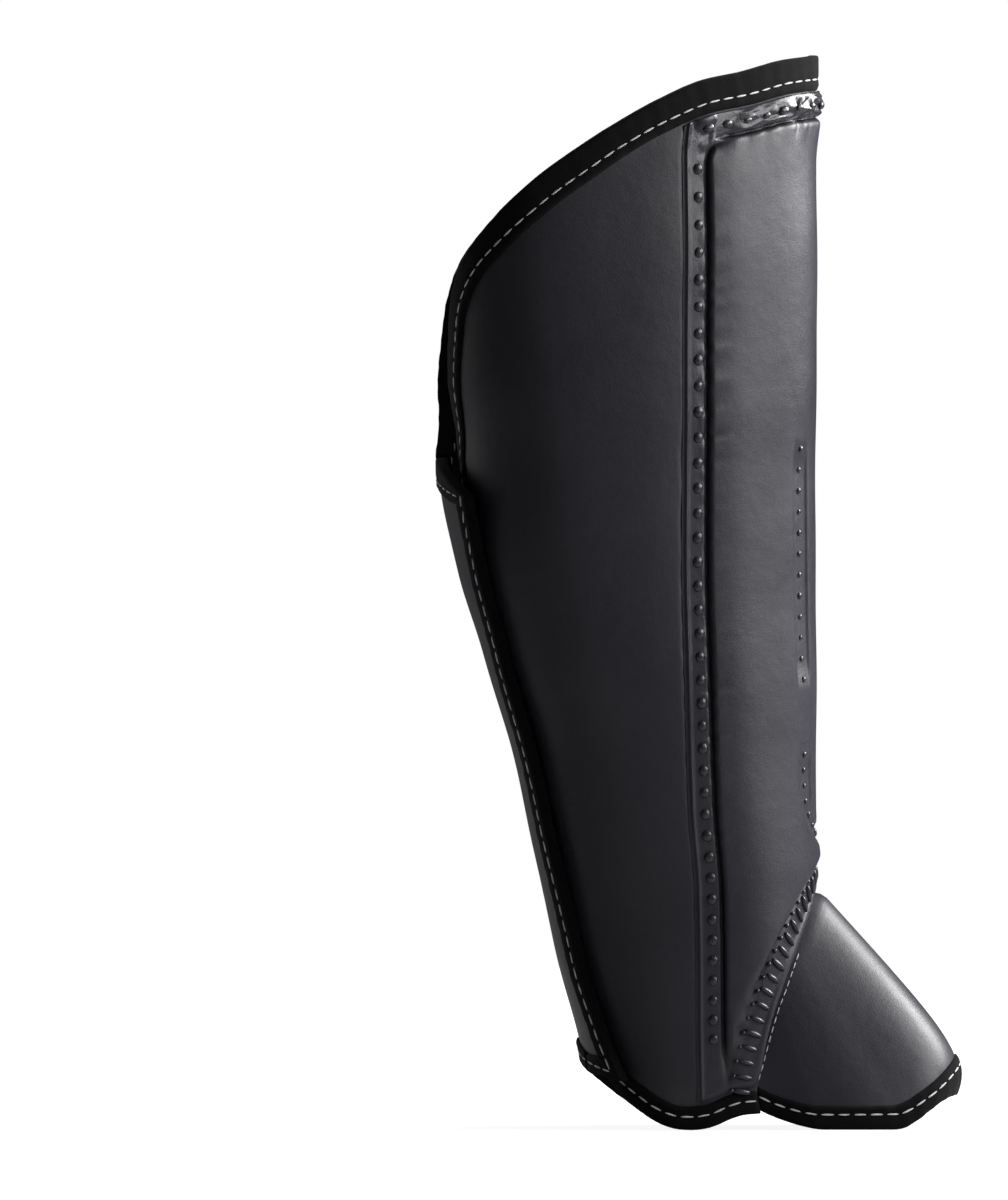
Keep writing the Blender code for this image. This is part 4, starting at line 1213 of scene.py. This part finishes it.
def makeWelds(tree, materials):
    low, high = welds["bandLow"], welds["bandTop"]
    heights = [high]
    while heights[-1] > low:
        share = (heights[-1] - low) / (high - low)
        growth = (welds["bandTopPitch"] - welds["bandLowPitch"]) * share
        heights.append(heights[-1] - welds["bandLowPitch"] - growth)
    heights = np.array(heights[:-1])
    for title, side in (("Near", 1), ("Far", -1)):
        keepDots("bandDots", tree, side * weldLine(heights), heights, materials, title)
    at = facing["stripAt"]
    z = np.linspace(facing["stripBottom"] + welds["stripEnd"], facing["stripTop"] - welds["stripEnd"],
                    welds["stripCount"])
    keepDots("stripDots", tree, np.repeat((at, -at), len(z)), np.tile(z, 2), materials)
    bendZ = facing["loopBottom"] + at + facing["stripHalf"]
    angles = np.linspace(0, np.pi, 30)
    arm = np.linspace(facing["loopTop"] - welds["loopEnd"], bendZ, 12)[:-1]
    straight = np.full(len(arm), at)
    loopS = np.concatenate([straight, at * np.cos(angles), -straight])
    loopZ = np.concatenate([arm, bendZ - at * np.sin(angles), arm[::-1]])
    keepWelds("loopDots", tree, alongPath(*onFacing(loopS, loopZ), welds["loopPitch"]), materials)
    end = weldLine(welds["topEnd"]) + facing["seat"]
    s = np.linspace(end, -end, 80)
    row = onFacing(s, facingTop(s) - facing["topWeld"] / 2)
    keepWelds("topDots", tree, alongPath(*row, welds["topPitch"]), materials)
    turns = np.linspace(-welds["combReach"], welds["combReach"], 319)
    lift = guard["gap"] + facing["thickness"] + seam["proud"]
    for kind in ("combBars", "combDots"):
        lines = []
        for margin, height in ((0.0, lift), (0.0, lift + normalStep), (0.001, lift)):
            rimS, rimZ = archRim(np.abs(turns), welds[kind + "At"] + margin)
            lines.append(lifted(-np.sign(turns) * rimS, rimZ, height))
        line, above, outer = lines
        keepWelds(kind, tree, alongPath(line, above, welds["combPitch"], outer), materials)


def keepTape(name, node, tree, place, stops, sizes, materials):
    # the tape with its seam, which shows on both faces
    reach, stitch = sizes
    keep(makeBinding(name, place, stops, materials["tape"], reach, stitch), [node], "binding")
    rise = guard["tapeNose"] + seam["proud"]
    for title, height, step in (("Seam", rise - tapeSizes["stitchDip"], normalStep),
                                ("SeamInside", -guard["leather"] - rise, -normalStep)):
        studs = alongPath(place(stitch, height), place(stitch, height + step), seam["pitch"])
        thread = setStuds(name + title, tree, studs, seam["size"], materials["thread"], seam["unevenness"])
        keep(thread, [], "binding")


def makeBindings(tree, materials):
    # lengths are in the wrap's own surface
    def joined(*parts):
        # each part is a side of the wrap, shares of its girth and heights
        s = [wrapGirth(side, share, z) for side, share, z in parts]
        return np.concatenate(s), np.concatenate([z for _, _, z in parts]), [len(row) for row in s]

    fromRear = np.linspace(1, 0, 220)
    fromShin = fromRear[::-1][1:]
    edgeZ = np.linspace(upperEdge(1.0) - guard["nearCovered"], upperEdge(1.0), 12)[:-1]
    tabShares = np.linspace(0, 1, 30)[1:]
    tabLow, tabHigh = tabEnds(tabShares)
    freeZ = np.linspace(tabHigh[-1], tabLow[-1], 140)[1:]
    turned = tabShares > seam["tabTurn"]
    footS, footZ = archRim(np.array([archFoot()]))
    nearHem = np.linspace(1, footS[0] / halfGirth(footZ[0]), 120)
    farHem = nearHem[::-1]
    top, tab, hem, foot = (tapeSizes[key] for key in ("top", "tab", "hem", "foot"))

    edges = []
    s, z, counts = joined((1, 1.0, edgeZ), (1, fromRear, upperEdge(fromRear)),
                          (-1, fromShin, upperEdge(fromShin)))
    edges.append(("topBinding", "top_binding", s, z, counts[:1], 1, (top, top, top)))
    s, z, counts = joined((-1, 1 + tabShares, tabHigh), (-1, 2.0, freeZ),
                          (-1, 1 + tabShares[turned][::-1][1:], tabLow[turned][::-1][1:]))
    corners = [counts[0] - 1, counts[0] + counts[1] - 1]
    edges.append(("tabBinding", "tab_binding", s, z, corners, 1, (top, tab, tab, foot)))
    s, z, _ = joined((1, nearHem, hemEdge(nearHem)))
    edges.append(("hemBindingNear", "hem_binding_near", s, z, [], -1, (hem, hem)))
    s, z, counts = joined((-1, farHem, hemEdge(farHem)), (-1, 1 + tabShares[~turned], tabLow[~turned]))
    edges.append(("hemBindingFar", "hem_binding_far", s, z, [counts[0] - 1], -1, (hem, hem, foot)))
    for name, node, s, z, corners, side, zones in edges:
        place, stops, marks = wrapPlace(s, z, corners, side)
        sizes = [np.interp(stops, marks, values) for values in zip(*zones)]
        keepTape(name, node, tree, place, stops, sizes, materials)


def makeFlapBinding(tree, materials):
    turns = np.linspace(1, -1, 101)
    downs = np.linspace(0, 1, 90)
    turn, down = np.meshgrid(turns, downs, indexing="ij")
    fromHem = np.array([pathLengths(row[::-1]) for row in flapPoint(turn, down)])

    def place(inward, lift):
        if inward[0] < 0:
            at = 1 - inward * (downs[1] / fromHem[:, 1])
        else:
            at = np.array([np.interp(value, row, downs[::-1]) for value, row in zip(inward, fromHem)])
        return flapFace(turns, at, np.zeros(len(turns)) + lift)

    toe = ease(1 - np.abs(turns) / tapeSizes["toeSpan"])
    sizes = [side + (front - side) * toe for side, front in zip(tapeSizes["flap"], tapeSizes["toe"])]
    keepTape("flapBinding", "flap_binding", tree, place, pathLengths(flapHem(turns)), sizes, materials)


def makeRimSeam(tree, materials):
    # small stitches on the flap, along the rim of the cut-out
    for title, side in (("Near", 1), ("Far", -1)):
        turns = side * np.linspace(rimSeam["from"], rimSeam["to"], 120)
        length = np.linalg.norm(flapHem(turns) - flapRim(turns, 0.0), axis=-1)
        down = np.clip(rimSeam["inset"] / length * rimSeam["lean"], 0, 0.6)
        line, above = (flapFace(turns, down, np.full(len(turns), seam["proud"] + step))
                       for step in (0.0, normalStep))
        studs = alongPath(line, above, rimSeam["pitch"])
        keep(setStuds("rimSeam" + title, tree, studs, rimSeam["size"], materials["thread"],
                      seam["unevenness"]), [], "binding")


closure = {"top": 0.212, "bottom": 0.045, "inset": 0.0022, "frontInset": 0.0122, "rows": 120, "columns": 12}


def makeClosure(material):
    z = np.linspace(closure["bottom"], closure["top"], closure["rows"] + 1)
    rear = halfGirth(z) - guard["nearSetback"] - closure["inset"]
    front = halfGirth(z) - tabOverlap(z) + closure["frontInset"]
    shares = np.linspace(0, 1, closure["columns"] + 1)
    s = front[None, :] + (rear - front)[None, :] * shares[:, None]
    height = np.broadcast_to(z, s.shape)
    gap = guard["gap"]
    outer = lifted(s, height, np.full(s.shape, guard["tabLift"] - guard["leather"] - gap))
    inner = lifted(s, height, np.full(s.shape, gap))
    return makeWall("closureTape", outer, inner, material)


# Studio

studio = {
    "distance": 6.0,
    "frameHeight": 0.4480,    # what the image's height spans at the guard
    "imageHeight": 1200.0,
    "imageWidth": 1008.0,
    "guardCentre": (698.5, 591.0),    # where the guard's middle stands in the image
    "sensor": 36.0,
    "floorColor": (0.40, 0.40, 0.41),
    "floorRadius": 2.6,
    "floorGlow": (0.90, 1.15),    # keeps the floor pale: under the guard, away from it
    "glowReach": (0.25, 0.95),
    "floorSink": 0.0002,
    "roomLight": 0.05,        # light from the room itself, away from the lamps
}
# place, the height on the guard's axis it shines at, width, length, power
lights = {
    "keyLight": ((0.90, 0.30, 0.75), 0.26, 0.5, 0.6, 20.0),
    "sideLight": ((1.00, -0.40, 0.62), 0.28, 0.5, 0.6, 6.5),
    "fillLight": ((1.4, -2.2, 1.2), 0.30, 1.2, 1.2, 2.9),
    "backLight": ((-1.5, 1.7, 0.9), 0.20, 1.0, 1.0, 7.0),
    "topLight": ((0.3, 0.1, 2.2), 0.20, 1.6, 1.6, 4.0),
}


def makeStage():
    # a round pale floor; the room behind it is white
    ring = np.linspace(0, 2 * np.pi, 97)[:-1]
    radius = studio["floorRadius"]
    sink = np.full(len(ring), -studio["floorSink"])
    vertices = np.stack([radius * np.cos(ring), radius * np.sin(ring), sink], axis=1)
    material, tree, shader, coordinates = newMaterial("paleFloor")
    away = addNode(tree, "ShaderNodeVectorMath", {0: coordinates["Object"]}, operation="LENGTH")
    glow = mapValue(tree, away.outputs["Value"], *studio["floorGlow"], *studio["glowReach"])
    seen = addNode(tree, "ShaderNodeLightPath", {}).outputs["Is Camera Ray"]
    fillInputs(tree, shader, {"Base Color": (*studio["floorColor"], 1.0), "Roughness": 0.9,
                              "Emission Color": (1.0, 1.0, 1.0, 1.0),
                              "Emission Strength": addMath(tree, "MULTIPLY", glow, seen)})
    makeObject("studioFloor", vertices, [tuple(range(len(ring)))], material)


def makeStudio():
    scene = bpy.context.scene
    makeStage()
    for name, (place, aim, width, length, power) in lights.items():
        data = bpy.data.lights.new(name, "AREA")
        data.shape = "RECTANGLE"
        data.size = width
        data.size_y = length
        data.energy = power
        light = bpy.data.objects.new(name, data)
        light.location = place
        light.rotation_euler = (Vector((0.0, 0.0, aim)) - Vector(place)).to_track_quat("-Z", "Y").to_euler()
        scene.collection.objects.link(light)
    world = bpy.data.worlds.new("studioWorld")
    world.use_nodes = True
    tree = world.node_tree
    seen = tree.nodes["Background"]
    fillInputs(tree, seen, {"Color": (1.0, 1.0, 1.0, 1.0)})
    room = addNode(tree, "ShaderNodeBackground", {"Strength": studio["roomLight"]})
    path = addNode(tree, "ShaderNodeLightPath", {}).outputs["Is Camera Ray"]
    mix = addNode(tree, "ShaderNodeMixShader", {0: path, 1: room.outputs[0], 2: seen.outputs[0]})
    fillInputs(tree, tree.nodes["World Output"], {"Surface": mix.outputs[0]})
    scene.world = world
    low, high = (np.array(corner) for corner in cadBounds)
    centre = (low + high) / 2
    scale = studio["frameHeight"] / studio["imageHeight"]
    offX = (studio["guardCentre"][0] - studio["imageWidth"] / 2) * scale
    offZ = (studio["guardCentre"][1] - studio["imageHeight"] / 2) * scale
    data = bpy.data.cameras.new("studioCamera")
    data.sensor_width = studio["sensor"]
    data.sensor_fit = "AUTO"
    data.lens = studio["sensor"] * studio["distance"] / studio["frameHeight"]
    camera = bpy.data.objects.new("studioCamera", data)
    camera.location = (centre[0] - offX, centre[1] - studio["distance"], centre[2] + offZ)
    camera.rotation_euler = (np.pi / 2, 0.0, 0.0)
    scene.collection.objects.link(camera)
    scene.camera = camera
    scene.view_settings.view_transform = "Standard"


buildSkin()
makeStudio()
print("studio and skin ready")
materials = buildMaterials()
keep(makeWrap(materials["wrap"]), ["body_panel"], "leather")
print("wrap done")
keep(makeFacing(materials["facing"]), ["front_facing"], "leather_facing")
print("facing done")
keep(makeFlap(materials["flap"]), ["metatarsal_flap"], "leather_flap")
print("flap done")
studTree = makeStudTree()
makeBindings(studTree, materials)
makeFlapBinding(studTree, materials)
makeRimSeam(studTree, materials)
print("bindings and seams done")
makeWelds(studTree, materials)
keep(makeClosure(materials["hook"]), ["closure_tape"], "hook_tape")
print("welds and closure done")
